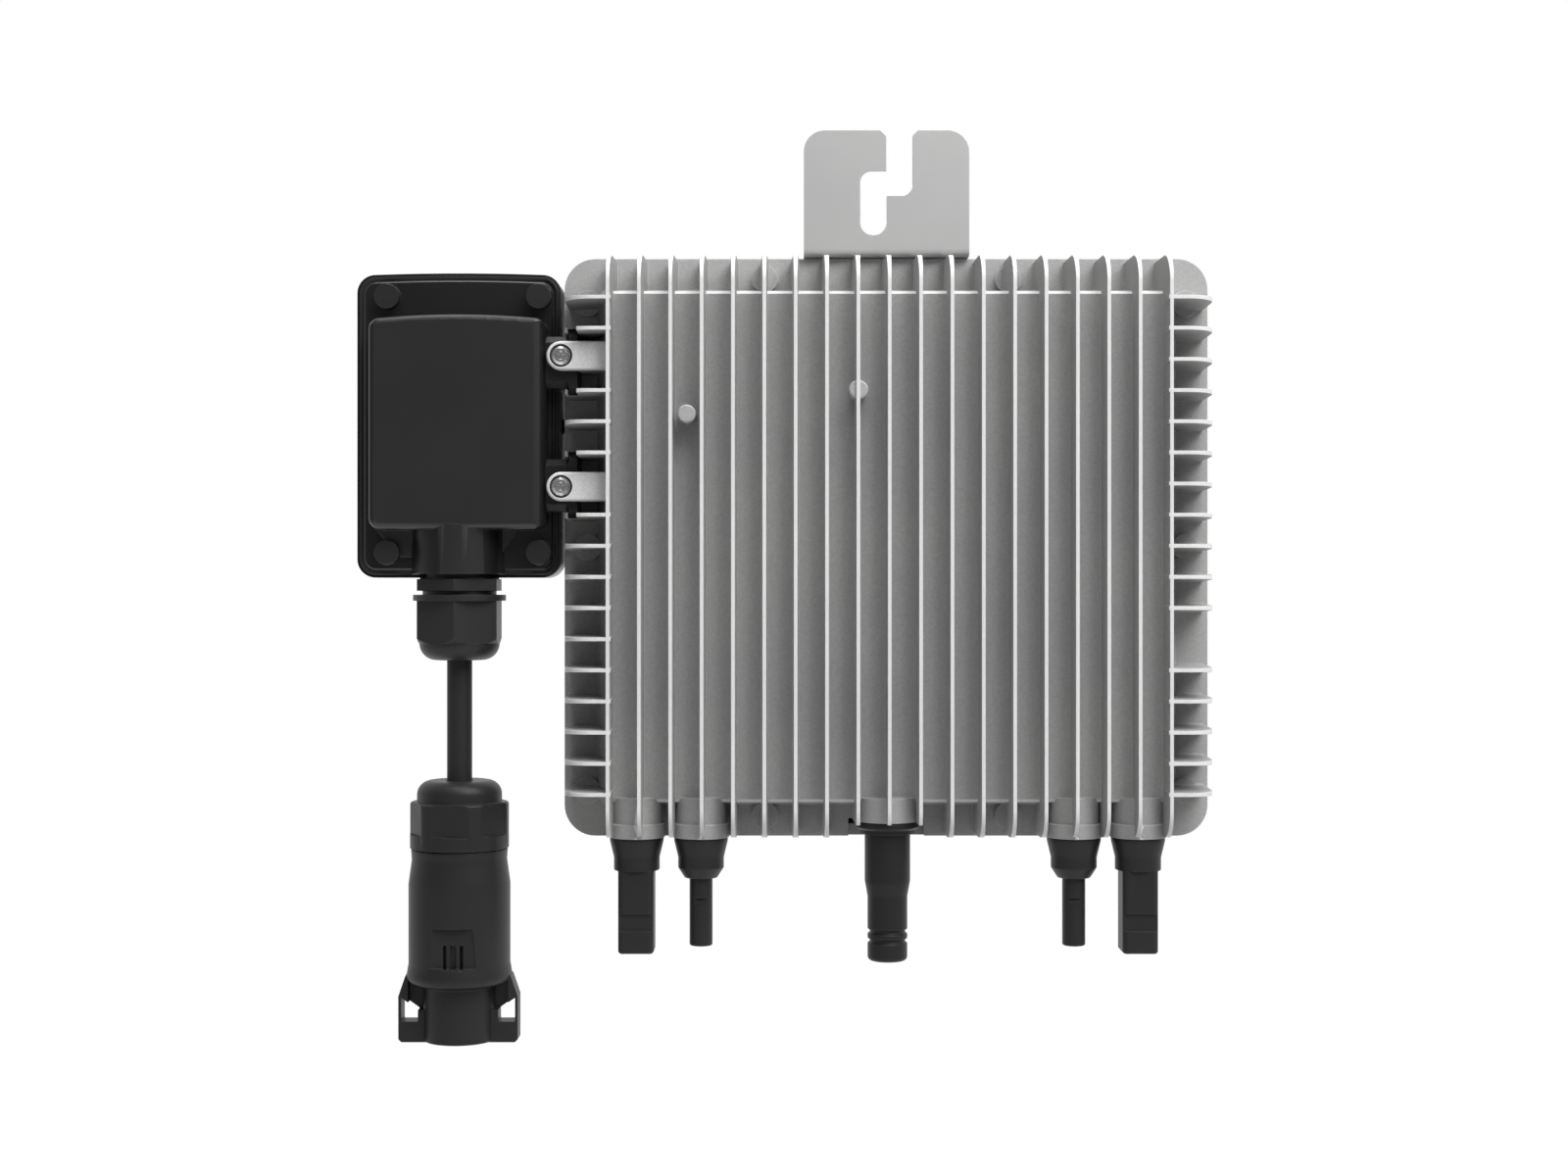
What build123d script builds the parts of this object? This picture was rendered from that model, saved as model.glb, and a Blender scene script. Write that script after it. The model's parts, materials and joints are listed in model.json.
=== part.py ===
from build123d import *
import math
import os

# Solar microinverter, millimetres. While the parts are drawn, the middle of the housing's
# flange face is the zero point: X to the right, Y into the back, Z up, fins towards -Y.
# Each part is written with the middle of the hanger slot's seat as its origin.

# Housing
body_width = 229.2
body_height = 205.6
body_corner = 11.0
rim_depth = 10.4
rim_wall = 4.0
flange_thick = 3.4
block_rise = 15.0
block_margin_x = 16.1
block_margin_z = 13.5
block_half_width = body_width / 2 - block_margin_x
block_half_height = body_height / 2 - block_margin_z
block_flare_x = 4.5
block_flare_z = 2.2
block_corner = 2.4
block_wall = 3.0
block_edge = 0.9

# Fins across the front and ribs down both sides
fin_count = 19
fin_tip = 1.3
fin_pitch = 2 * (block_half_width - fin_tip) / (fin_count - 1)
fin_root = 2.9
fin_rise = 26.5
fin_end_inset = 1.3
fin_end_radius = 10.0
rib_count = 17
rib_margin = 3.46
rib_pitch = 2 * (block_half_height - rib_margin) / (rib_count - 1)
rib_end_inset = 1.8
rib_root_inset = 2.3
missing_right_rib = 11
lug_ribs = (2, 6)
ear_ribs = (1, 3, 5, 7)

# Screw posts for the cover, round pads between the fins
post_radius = 5.0
post_front_radius = 4.7
post_front_rise = 3.0
post_drop_x = 8.4
post_x = body_width / 2 - post_drop_x
post_drop_z = 16.3
post_z = body_height / 2 - post_drop_z
post_mid_x = 4 * fin_pitch
post_mid_drop_z = 7.6
post_mid_z = body_height / 2 - post_mid_drop_z
pad_spots = ((-70.0, 45.6, 3.2), (-10.7, 53.9, 3.4))
pad_drop = 0.8
pad_edge = 0.5
overlap = 1.0

# Cast lugs that hold the relay box
lug_lifts = (1.9, -0.7)
lug_width = 10.2
lug_front = 20.0
lug_thick = 3.6
lug_hole_inset = 0.7
lug_hole_x = lug_hole_inset - body_width / 2
lug_hole_radius = 2.2
lug_sink_radius = 3.95
lug_sink_depth = 1.4
lug_edge = 0.6

# Rear cover and its gasket
gasket_thick = 0.8
gasket_width = 5.0
gasket_inset = 0.5
gasket_inner_corner = 7.0
cover_thick = 2.4
cover_dish = 1.2
cover_dish_inset = 24.0
cover_edge = 0.7
cover_dish_edge = 0.95

# Screws
m4_radius = 1.95
m4_head = 3.6
m4_head_high = 2.2
m3_radius = 1.45
m3_head = 2.75
m3_head_high = 1.6
screw_clear = 0.25
thread_clear = 0.05
cover_screw_long = 11.0
cover_bore_deep = 10.0
head_side_share = 0.55
head_top_share = 0.72
lug_screw_head = 3.4
lug_screw_long = 8.0
relay_screw_long = 9.0

# Hanging bracket
bracket_half_width = 29.35
bracket_foot_lift = 0.3
bracket_foot = body_height / 2 + bracket_foot_lift
bracket_top_lift = 44.8
bracket_top = bracket_foot + bracket_top_lift
bracket_thick = 2.0
bracket_front = -4.5
bracket_corner = 7.6
bracket_bend = 0.5
bracket_leg = 24.0
bracket_screw_x = 20.0
bracket_screw_drop_z = 8.8
bracket_screw_z = body_height / 2 - bracket_screw_drop_z
bracket_screw_long = 13.0
seat_x = -4.65
seat_lift_z = 12.2
seat_z = bracket_foot + seat_lift_z
seat_radius = 4.65
seat_slot_top_drop = 14.5
seat_slot_top = bracket_top - seat_slot_top_drop
entry_left = -0.1
entry_right = 9.2
entry_floor_drop = 23.3
entry_floor = bracket_top - entry_floor_drop
slot_corner = 3.9
slot_lead_in = 2.0

# Connector ports along the lower edge
port_y = -9.5
socket_drop_x = 26.4
socket_x = body_width / 2 - socket_drop_x
plug_drop_x = 22.6
plug_x = socket_x - plug_drop_x
port_radius = 9.9
port_neck_radius = 8.9
port_neck_top_drop = 7.8
port_neck_top = -block_half_height - port_neck_top_drop
port_face_inset = 0.75
port_face = port_face_inset - body_height / 2
port_bore = 4.5
port_fit = 0.08
port_seal_depth = 0.9
port_seal_inner = 5.6
port_seal_outer = 7.4
port_seal_squeeze = 0.05
port_bore_over = 0.6
port_stub_over = 0.4
antenna_face_inset = 6.4
antenna_face = antenna_face_inset - body_height / 2
antenna_boss_radius = 10.9
antenna_notch_half = 13.5
antenna_bore = 3.5

# Direct-current connectors
collar_radius = 9.45
collar_straight = 1.2
collar_waist = 8.05
collar_cone_end_drop = 7.05
collar_cone_end = port_face - collar_cone_end_drop
socket_collar_end_drop = 11.45
socket_collar_end = port_face - socket_collar_end_drop
socket_width = 12.5
socket_depth = 13.6
socket_end_drop = 40.35
socket_end = port_face - socket_end_drop
socket_corner = 2.0
socket_edge = 0.6
socket_band_top_drop = 26.45
socket_band_low_drop = 32.45
socket_band = (port_face - socket_band_top_drop, port_face - socket_band_low_drop)
socket_band_depth = 0.8
socket_mouth = 4.2
socket_mouth_deep = 24.0
plug_collar_end_drop = 10.65
plug_collar_end = port_face - plug_collar_end_drop
plug_shoulder_end_drop = 14.25
plug_shoulder_end = port_face - plug_shoulder_end_drop
plug_shoulder = 5.75
plug_nose = 4.05
plug_end_drop = 38.15
plug_end = port_face - plug_end_drop
plug_tip_edge = 0.4
plug_catch_top_drop = 21.25
plug_catch_low_drop = 25.75
plug_catch = (port_face - plug_catch_top_drop, port_face - plug_catch_low_drop)
plug_catch_depth = 0.9
contact_radius = 1.5
contact_tube_radius = 2.6
contact_tube_long = 20.0
contact_fit = 0.06
contact_tail_inset = 11.3
contact_tail_z = contact_tail_inset - block_half_height
contact_tip_inset = 5.0
pin_tip_radius = 0.9
pin_tip_long = 1.2
contact_recess = 1.0
contact_bore = 1.6
contact_bore_floor = 3.0

# Antenna
antenna_collar = 11.1
antenna_collar_end_drop = 2.8
antenna_collar_end = antenna_face - antenna_collar_end_drop
antenna_collar_edge = 0.8
antenna_foot = 9.3
antenna_foot_end_drop = 4.35
antenna_foot_end = antenna_face - antenna_foot_end_drop
antenna_seal_thick = 0.5
antenna_seal_inset = 0.4
sleeve_top_radius = 8.0
sleeve_low_radius = 7.0
sleeve_taper_top_drop = 20.9
sleeve_taper_low_drop = 26.5
sleeve_taper = (antenna_face - sleeve_taper_top_drop, antenna_face - sleeve_taper_low_drop)
sleeve_end_drop = 49.1
sleeve_end = antenna_face - sleeve_end_drop
sleeve_round = 1.6
sleeve_grooves_top_drop = 38.7
sleeve_grooves_low_drop = 42.0
sleeve_grooves = (antenna_face - sleeve_grooves_top_drop, antenna_face - sleeve_grooves_low_drop)
sleeve_groove_wide = 1.7
sleeve_groove_deep = 0.75
antenna_spigot = 4.0
antenna_spigot_long = 8.0
antenna_rod = 1.4
antenna_rod_inset = 6.0
antenna_fit = 0.05

# Circuit boards and what they carry
board_half_width_drop = 6.5
board_half_width = block_half_width - board_half_width_drop
board_half_height_drop = 9.3
board_half_height = block_half_height - board_half_height_drop
board_front = 3.5
board_thick = 1.6
board_post_drop_x = 15.0
board_post_x = board_half_width - board_post_drop_x
board_post_drop_z = 5.0
board_post_z = board_half_height - board_post_drop_z
board_post_radius = 3.6
board_screw_long = 7.0
board_corner = 2.0
transformer_x = 46.0
transformer_size = (34.0, 13.6, 30.0)
bobbin_wide = 23.8
bobbin_rise = 7.5
bobbin_over = 5.0
core_edge = 1.5
capacitor_radius = 6.6
capacitor_long = 30.0
capacitor_first = (-62.0, -30.0)
capacitor_step = 15.2
capacitor_groove_low = 4.0
capacitor_groove_deep = 0.7
capacitor_groove_wide = 2.0
choke_spot = (52.0, -18.0)
choke_radius = 12.0
choke_hole = 5.0
choke_rise = 12.0
film_spot = (20.0, -20.0)
film_size = (26.0, 13.0, 14.0)
film_edge = 0.8
transistor_count = 8
transistor_pitch = 14.0
transistor_drop_z = 18.0
transistor_z = board_half_height - transistor_drop_z
transformer_drop = 28.0
transformer_z = transistor_z - transformer_drop
transistor_size = (10.0, 4.4, 15.0)
pad_thick = 1.0
pad_over = 4.0
radio_inset = 16.0
radio_spot = (0.0, radio_inset - board_half_height)
radio_size = (18.0, 3.2, 25.5)
radio_board_thick = 1.0
radio_can = (16.0, 17.5)
radio_can_lift = 2.5

# Relay box
relay_width = 72.15
relay_height = 107.74
relay_space = 0.725
relay_lift = 0.1
relay_x = -(body_width + relay_width) / 2 - relay_space
relay_z = ((rib_count - 1) / 2 - sum(lug_ribs) / 2) * rib_pitch + relay_lift
relay_foot = relay_z - relay_height / 2
relay_corner = 6.5
relay_crown = 0.8
relay_rim_back = 9.7
relay_front = -5.4
relay_rim_inset = 1.0
relay_rim_rise = 1.1
relay_groove_inset = 1.9
relay_groove_deep = 0.6
relay_field_inset = 2.8
relay_field_rise = 1.8
relay_field_edge = 0.45
relay_room_step = 0.9
relay_wall = 2.4
relay_lid_thick = 2.6
relay_gasket_thick = 0.8
relay_gasket_width = 2.6
relay_gasket_inset = 0.5
relay_lid_edge = 0.8
relay_corner_follow = 0.8
raised_lift_x = 1.1
raised_x = relay_x + raised_lift_x
raised_lift_z = 0.38
raised_z = relay_z + raised_lift_z
raised_width_drop = 10.55
raised_width = relay_width - raised_width_drop
raised_height_drop = 32.74
raised_height = relay_height - raised_height_drop
raised_front = -20.0
raised_corner = 4.0
raised_edge = 2.4
raised_side_edge = 4.6
raised_crown = 1.6
raised_corner_follow = 0.6
knob_lift_x = 2.1
knob_x = relay_x + knob_lift_x
knob_z = relay_z
knob_half_drop_x = 9.4
knob_half_x = relay_width / 2 - knob_half_drop_x
knob_half_drop_z = 8.87
knob_half_z = relay_height / 2 - knob_half_drop_z
knob_radius = 4.4
knob_rise = 5.0
pillar_inset = 0.6
pillar_deep = 8.0
neck_lift_x = -0.1
neck_x = relay_x + neck_lift_x
neck_y = -3.5
neck_radius = 16.75
neck_end_lift = 1.25
neck_end = relay_foot + neck_end_lift
neck_into_field = 2.0
gusset_far = (-29.6, 21.8)
gusset_near = (-20.3, 14.8)
gusset_low_lift = 7.15
gusset_low = relay_foot + gusset_low_lift
gusset_thick = 1.6
ear_end_inset = 6.1
ear_end_x = ear_end_inset - body_width / 2
ear_step_inset = 3.1
ear_step_x = ear_step_inset - body_width / 2
ear_half = 9.0
ear_end_half = 11.3
ear_clear = 0.4
ear_slope = 2.2
insert_radius = 2.9
insert_long = 8.0
link_radius = 2.6
link_y = 7.0
link_lift_z = 0.5
link_z = relay_z + link_lift_z
link_reach = 7.0
link_fit = 0.05
relay_board_trim_x = 20.15
relay_board_trim_z = 45.74
relay_board_size = (relay_width - relay_board_trim_x, board_thick, relay_height - relay_board_trim_z)
relay_board_front = 1.0
relay_board_lift_z = 3.5
relay_board_z = relay_z + relay_board_lift_z
relay_post_radius = 2.6
relay_pin_radius = 1.15
relay_pin_over = 0.8
relay_size = (13.0, 15.6, 29.0)
relay_stand = 6.0
relay_edge = 0.6
relay_gap = 18.0
terminal_size = (30.0, 10.0, 9.0)
terminal_from_foot = 13.0
terminal_way = 2.6
board_post_gap = 4.0

# Cable gland
hex_flats = 28.0
hex_turn = 31.0
gland_seal_thick = 0.5
gland_seal_inset = 0.1
gland_hex_end_drop = 4.65
gland_hex_end = relay_foot - gland_hex_end_drop
gland_thread = 13.0
gland_stub_top_lift = 12.85
gland_stub_top = relay_foot + gland_stub_top_lift
gland_stub = 12.0
gland_ring_top_drop = 6.05
gland_ring_top = relay_foot - gland_ring_top_drop
gland_ring_end_drop = 8.15
gland_ring_end = relay_foot - gland_ring_end_drop
gland_ring = 16.35
gland_nut_end_drop = 23.2
gland_nut_end = relay_foot - gland_nut_end_drop
gland_nut_edge = 2.0
gland_dome = 14.1
gland_face_drop = 29.15
gland_face = relay_foot - gland_face_drop
gland_dome_round = 5.9
gland_wall = 3.2
gland_insert_top_drop = 9.15
gland_insert_top = relay_foot - gland_insert_top_drop
gland_insert_fit = 0.1
gland_thread_end_drop = 17.15
gland_thread_end = relay_foot - gland_thread_end_drop
gland_fit = 0.15

# Cable and its coupler
cable_radius = 4.45
cable_fit = 0.05
cable_clear = 0.3
cable_top_lift = 5.0
cable_top = gland_face + cable_top_lift
cable_shown = 42.6
coupler_dome = 14.95
coupler_top = gland_face - cable_shown
cable_end_drop = 19.4
cable_end = coupler_top - cable_end_drop
coupler_dome_round = 5.0
coupler_nut = 17.4
coupler_nut_top_drop = 7.5
coupler_nut_top = coupler_top - coupler_nut_top_drop
coupler_flat_end_drop = 18.9
coupler_flat_end = coupler_top - coupler_flat_end_drop
coupler_nut_end_drop = 23.9
coupler_nut_end = coupler_top - coupler_nut_end_drop
coupler_nut_edge = 0.6
coupler_nut_wall = 2.0
coupler_bush_long = 8.0
coupler_gap = 0.3
coupler_flats = 6
coupler_turn = -4.0
coupler_flat_depth = 1.3
coupler_waist = 16.75
coupler_waist_drop_z = 27.9
coupler_waist_z = coupler_top - coupler_waist_drop_z
coupler_body = 17.9
coupler_body_top_drop = 36.4
coupler_body_top = coupler_top - coupler_body_top_drop
coupler_body_end_drop = 64.4
coupler_body_end = coupler_top - coupler_body_end_drop
coupler_flare = 18.6
coupler_flare_end_drop = 68.7
coupler_flare_end = coupler_top - coupler_flare_end_drop
coupler_flare_steps = (2.0, 4.0)
coupler_spigot = 14.6
coupler_spigot_top_drop = 18.0
coupler_spigot_top = coupler_top - coupler_spigot_top_drop
coupler_shoulder = 17.0
coupler_end_drop = 91.9
coupler_end = coupler_top - coupler_end_drop
barrel_radius = 12.65
barrel_bore = 10.9
guard_root = 8.0
guard_half = 21.1
guard_edge = 1.0
guard_shoulder_drop = 76.0
guard_shoulder = coupler_top - guard_shoulder_drop
guard_end_drop = 92.3
guard_end = coupler_top - guard_end_drop
guard_depth = 8.3
guard_pocket_out = 17.6
guard_pocket_deep = 4.0
window_half_in = 14.2
window_half_out = 20.1
window_top_drop = 76.6
window_top = coupler_top - window_top_drop
window_slope_end_drop = 80.8
window_slope_end = coupler_top - window_slope_end_drop
window_end_drop = 85.0
window_end = coupler_top - window_end_drop
latch_half = 8.0
latch_top_drop = 50.45
latch_top = coupler_top - latch_top_drop
latch_end_drop = 64.25
latch_end = coupler_top - latch_end_drop
latch_lean = 1.0
latch_sink = 2.1
latch_slot_deep = 5.0
latch_groove_wide = 2.0
latch_groove_deep = 3.6
latch_slot_x = 2.9
latch_slot_wide = 1.1
latch_slot_top_drop = 56.4
latch_slot_low_drop = 64.7
latch_slot = (coupler_top - latch_slot_top_drop, coupler_top - latch_slot_low_drop)
insert_top_drop = 41.4
insert_top = coupler_top - insert_top_drop
insert_face_drop = 85.4
insert_face = coupler_top - insert_face_drop
coupler_contact_ring = 5.6
coupler_contact_radius = 1.5
coupler_contact_tip_drop = 90.4
coupler_contact_tip = coupler_top - coupler_contact_tip_drop
coupler_contact_root_drop = 37.4
coupler_contact_root = coupler_top - coupler_contact_root_drop
coupler_throat = 8.0
insert_fit = 0.05
insert_gap = 0.2
contact_seat_fit = 0.02


def facing(y, x=0.0, z=0.0):
    """Plane across the view at depth y: its X is right, its Y is up, its normal is -Y."""
    return Plane(origin=(x, y, z), x_dir=(1, 0, 0), z_dir=(0, -1, 0))


def slab(width, height, radius, front, back, x=0.0, z=0.0):
    outline = RectangleRounded(width, height, radius)
    return extrude(facing(back, x, z) * outline, back - front)


def peg(radius, front, back, x, z):
    """Round bar along Y."""
    return extrude(facing(back, x, z) * Circle(radius), back - front)


def bar(radius, low, high, x, y):
    """Round bar along Z."""
    return Pos(x, y, low) * Cylinder(radius, high - low, align=(Align.CENTER, Align.CENTER, Align.MIN))


def ring(outer, inner, low, high, x, y):
    return bar(outer, low, high, x, y) - bar(inner, low, high, x, y)


def turned(points, x, y):
    """Solid turned about an upright axis from (radius, height) points."""
    outline = make_face(Plane.XZ * Polyline(*points, close=True))
    return Pos(x, y, 0) * revolve(outline, Axis.Z)


def screw(radius, head, head_high, length, x, seat, z, towards=1):
    """Pan-head screw along Y: the head sits at seat, the shank runs towards +Y or -Y."""
    points = [(0, 0), (head, 0), (head, head_high * head_side_share), (head * head_top_share, head_high),
              (0, head_high)]
    top = revolve(make_face(Plane.XZ * Polyline(*points, close=True)), Axis.Z)
    shank = Pos(0, 0, -length) * Cylinder(radius, length, align=(Align.CENTER, Align.CENTER, Align.MIN))
    return Pos(x, seat, z) * Rot(90 * towards, 0, 0) * (top + shank)


def flank_posts():
    """Places of the ten cover screws, mirrored about both middles."""
    spots = [(sx * post_x, z) for sx in (-1, 1) for z in (-post_z, 0.0, post_z)]
    spots += [(sx * post_mid_x, sz * post_mid_z) for sx in (-1, 1) for sz in (-1, 1)]
    return spots


def bracket_posts():
    return [(-bracket_screw_x, bracket_screw_z), (bracket_screw_x, bracket_screw_z)]


def board_posts():
    return [(sx * board_post_x, sz * board_post_z) for sx in (-1, 1) for sz in (-1, 1)]


def port_xs():
    return (-socket_x, -plug_x, plug_x, socket_x)


def tapered_block(front, back, shrink):
    """Raised centre of the casting between two depths, its walls flaring to the flange."""
    faces = []
    for y in (back, front):
        flare = (y + block_rise) / block_rise
        half_w = block_half_width + block_flare_x * flare - shrink
        half_h = block_half_height + block_flare_z * flare - shrink
        outline = chamfer(Rectangle(2 * half_w, 2 * half_h).vertices(), block_corner)
        faces.append(facing(y) * outline)
    return loft(faces)


def wedge(at, length, tip, root):
    """Drafted plate standing on the flange, its thickness along X and its length along Z."""
    outline = Polyline((at - root / 2, 0), (at + root / 2, 0), (at + tip / 2, -fin_rise),
                       (at - tip / 2, -fin_rise), close=True)
    return Pos(0, 0, -length / 2) * extrude(Plane.XY * make_face(outline), length)


def rounded_reach(half_x, half_z, axis):
    """Room that the fins or ribs may fill: their front ends round over towards the flange."""
    room = Pos(0, -fin_rise / 2, 0) * Box(2 * half_x, fin_rise, 2 * half_z)
    front_edges = room.edges().filter_by(axis).group_by(Axis.Y)[0]
    return fillet(front_edges, fin_end_radius)


def fins():
    middle = (fin_count - 1) / 2
    plates = [wedge((i - middle) * fin_pitch, body_height, fin_tip, fin_root) for i in range(fin_count)]
    reach = rounded_reach(block_half_width + fin_root, body_height / 2 - fin_end_inset, Axis.X)
    return [plate & reach for plate in plates]


def rib_height(index):
    return ((rib_count - 1) / 2 - index) * rib_pitch


def ear_heights():
    return [rib_height(i) for i in lug_ribs]


def lug_heights():
    return [z + lift for z, lift in zip(ear_heights(), lug_lifts)]


def ribs():
    """Side ribs: rows left and right, with the gaps that the lugs and box ears need."""
    reach = rounded_reach(body_width / 2 - rib_end_inset, body_height / 2, Axis.Z)
    row = reach - Box(2 * (block_half_width - rib_root_inset), 4 * fin_rise, body_height)
    keep_right = Pos(body_width / 2, 0, 0) * Box(body_width, 4 * fin_rise, body_height)
    result = []
    for index in range(rib_count):
        plate = Rot(0, 90, 0) * wedge(0.0, body_width, fin_tip, fin_root)
        plate = Pos(0, 0, rib_height(index)) * plate & row
        right = plate & keep_right
        left = plate - keep_right
        if index != missing_right_rib:
            result.append(right)
        if index in lug_ribs:
            continue
        if index in ear_ribs:
            left = left - ear_room()
        result.append(left)
    return result


def ear_room():
    """Space kept free in front of the flange for the wide ends of the relay box ears."""
    rooms = []
    for z in ear_heights():
        wide = ear_end_x - ear_step_x + 2 * ear_clear
        middle = (ear_end_x + ear_step_x) / 2
        tall = 2 * (ear_end_half + ear_clear)
        rooms.append(Pos(middle, -fin_rise, z) * Box(wide, 2 * fin_rise, tall))
    return rooms


def lugs():
    """Two cast arms over the left flange; their outer ends clamp the relay box ears."""
    inner = -(block_half_width - fin_tip)
    result = []
    for z in lug_heights():
        root_left = ear_end_x + ear_clear
        root = Pos((root_left + inner) / 2, -lug_front / 2, z) * Box(inner - root_left, lug_front, lug_width)
        arm_right = (root_left + inner) / 2
        outline = Pos((lug_hole_x + arm_right) / 2, 0) * Rectangle(arm_right - lug_hole_x, lug_width)
        outline += Pos(lug_hole_x, 0) * Circle(lug_width / 2)
        arm = extrude(facing(-lug_front + lug_thick, 0, z) * outline, lug_thick)
        lug = arm + root
        lug = chamfer(lug.faces().sort_by(Axis.Y)[0].outer_wire().edges(), lug_edge)
        lug -= peg(lug_hole_radius, -lug_front, 0.0, lug_hole_x, z)
        lug -= peg(lug_sink_radius, -lug_front, -lug_front + lug_sink_depth, lug_hole_x, z)
        result.append(lug)
    return result


def pads():
    result = []
    for x, z, radius in pad_spots:
        pad = peg(radius, -fin_rise + pad_drop, -block_rise + block_wall / 2, x, z)
        result.append(chamfer(pad.edges().group_by(Axis.Y)[0], pad_edge))
    return result


def port_bosses():
    """Round bosses that the connectors screw into, grown from the lower wall."""
    inside = -block_half_height + block_wall / 2
    result = []
    for x in port_xs():
        boss = bar(port_radius, port_face, port_neck_top, x, port_y)
        result.append(boss + bar(port_neck_radius, port_neck_top, inside, x, port_y))
    result.append(bar(antenna_boss_radius, antenna_face, inside, 0.0, port_y))
    return result


def heatsink_housing():
    shell = slab(body_width, body_height, body_corner, 0.0, rim_depth)
    block = tapered_block(-block_rise, 0.0, 0.0)
    block = chamfer(block.faces().sort_by(Axis.Y)[0].outer_wire().edges(), block_edge)
    solid = shell.fuse(block, *port_bosses())
    notch = Pos(0, -fin_rise + flange_thick, antenna_face - body_height / 2) * Box(
        2 * antenna_notch_half, 2 * fin_rise, body_height)
    front_posts = [peg(post_front_radius, -post_front_rise, overlap, x, z) for x, z in flank_posts()]
    solid = solid.fuse(*front_posts, *fins(), *ribs(), *lugs(), *pads())
    solid -= notch & slab(body_width, body_height, body_corner, -fin_rise, flange_thick)
    inner_width = body_width - 2 * rim_wall
    inner_height = body_height - 2 * rim_wall
    cavity = slab(inner_width, inner_height, body_corner - rim_wall, flange_thick, rim_depth)
    cavity += tapered_block(-block_rise + block_wall, flange_thick, block_wall)
    kept = [peg(post_radius, 0.0, rim_depth, x, z) for x, z in flank_posts() + bracket_posts()]
    kept += [peg(board_post_radius, -block_rise, board_front, x, z) for x, z in board_posts()]
    for post in kept:
        cavity -= post
    solid -= cavity
    bores = []
    for x, z in flank_posts() + bracket_posts():
        bores.append(peg(m4_radius + thread_clear, rim_depth - cover_bore_deep, rim_depth, x, z))
    for x, z in board_posts():
        bores.append(peg(m3_radius + thread_clear, board_front - board_screw_long, board_front, x, z))
    top_of_bore = -block_half_height + block_wall + port_bore_over
    for x in port_xs():
        bores.append(bar(port_bore, port_face, top_of_bore, x, port_y))
        seal_room = ring(port_seal_outer, port_seal_inner, port_face, port_face + port_seal_depth, x, port_y)
        bores.append(seal_room)
    bores.append(bar(antenna_bore, antenna_face, top_of_bore, 0.0, port_y))
    bores.append(link_hole(-body_width / 2 - overlap, -body_width / 2 + rim_wall + overlap))
    return solid.cut(*bores)


def link_hole(left, right):
    return Pos(left, link_y, link_z) * Rot(0, 90, 0) * Cylinder(
        link_radius, right - left, align=(Align.CENTER, Align.CENTER, Align.MIN))


def cover_gasket():
    back = rim_depth + gasket_thick
    outer = 2 * gasket_inset
    band = slab(body_width - outer, body_height - outer, body_corner - gasket_inset, rim_depth, back)
    inside_w = body_width - 2 * gasket_width
    inside_h = body_height - 2 * gasket_width
    band -= slab(inside_w, inside_h, gasket_inner_corner, rim_depth, back)
    spots = flank_posts() + bracket_posts()
    band = band.fuse(*[peg(post_radius, rim_depth, back, x, z) for x, z in spots])
    return band.cut(*[peg(m4_radius + screw_clear, rim_depth, back, x, z) for x, z in spots])


def cover_front():
    return rim_depth + gasket_thick


def cover_back():
    return cover_front() + cover_thick


def rear_cover():
    """Flat plate with a shallow pressed field; its middle stands back from the screws."""
    plate = slab(body_width, body_height, body_corner, cover_front(), cover_back())
    plate = chamfer(plate.faces().sort_by(Axis.Y)[-1].edges(), cover_edge)
    field_w = body_width - 2 * cover_dish_inset
    field_h = body_height - 2 * cover_dish_inset
    raised = slab(field_w, field_h, body_corner, cover_front(), cover_back() + cover_dish)
    raised = chamfer(raised.faces().sort_by(Axis.Y)[-1].edges(), cover_dish_edge)
    plate += raised
    hollow = slab(field_w - 2 * cover_thick, field_h - 2 * cover_thick, body_corner - cover_thick,
                  cover_front(), cover_front() + cover_dish)
    plate -= hollow
    spots = flank_posts() + bracket_posts()
    return plate.cut(*[peg(m4_radius + screw_clear, cover_front(), cover_back(), x, z) for x, z in spots])


def cover_screws():
    seat = cover_back()
    return [screw(m4_radius, m4_head, m4_head_high, cover_screw_long, x, seat, z, -1)
            for x, z in flank_posts()]


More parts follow.
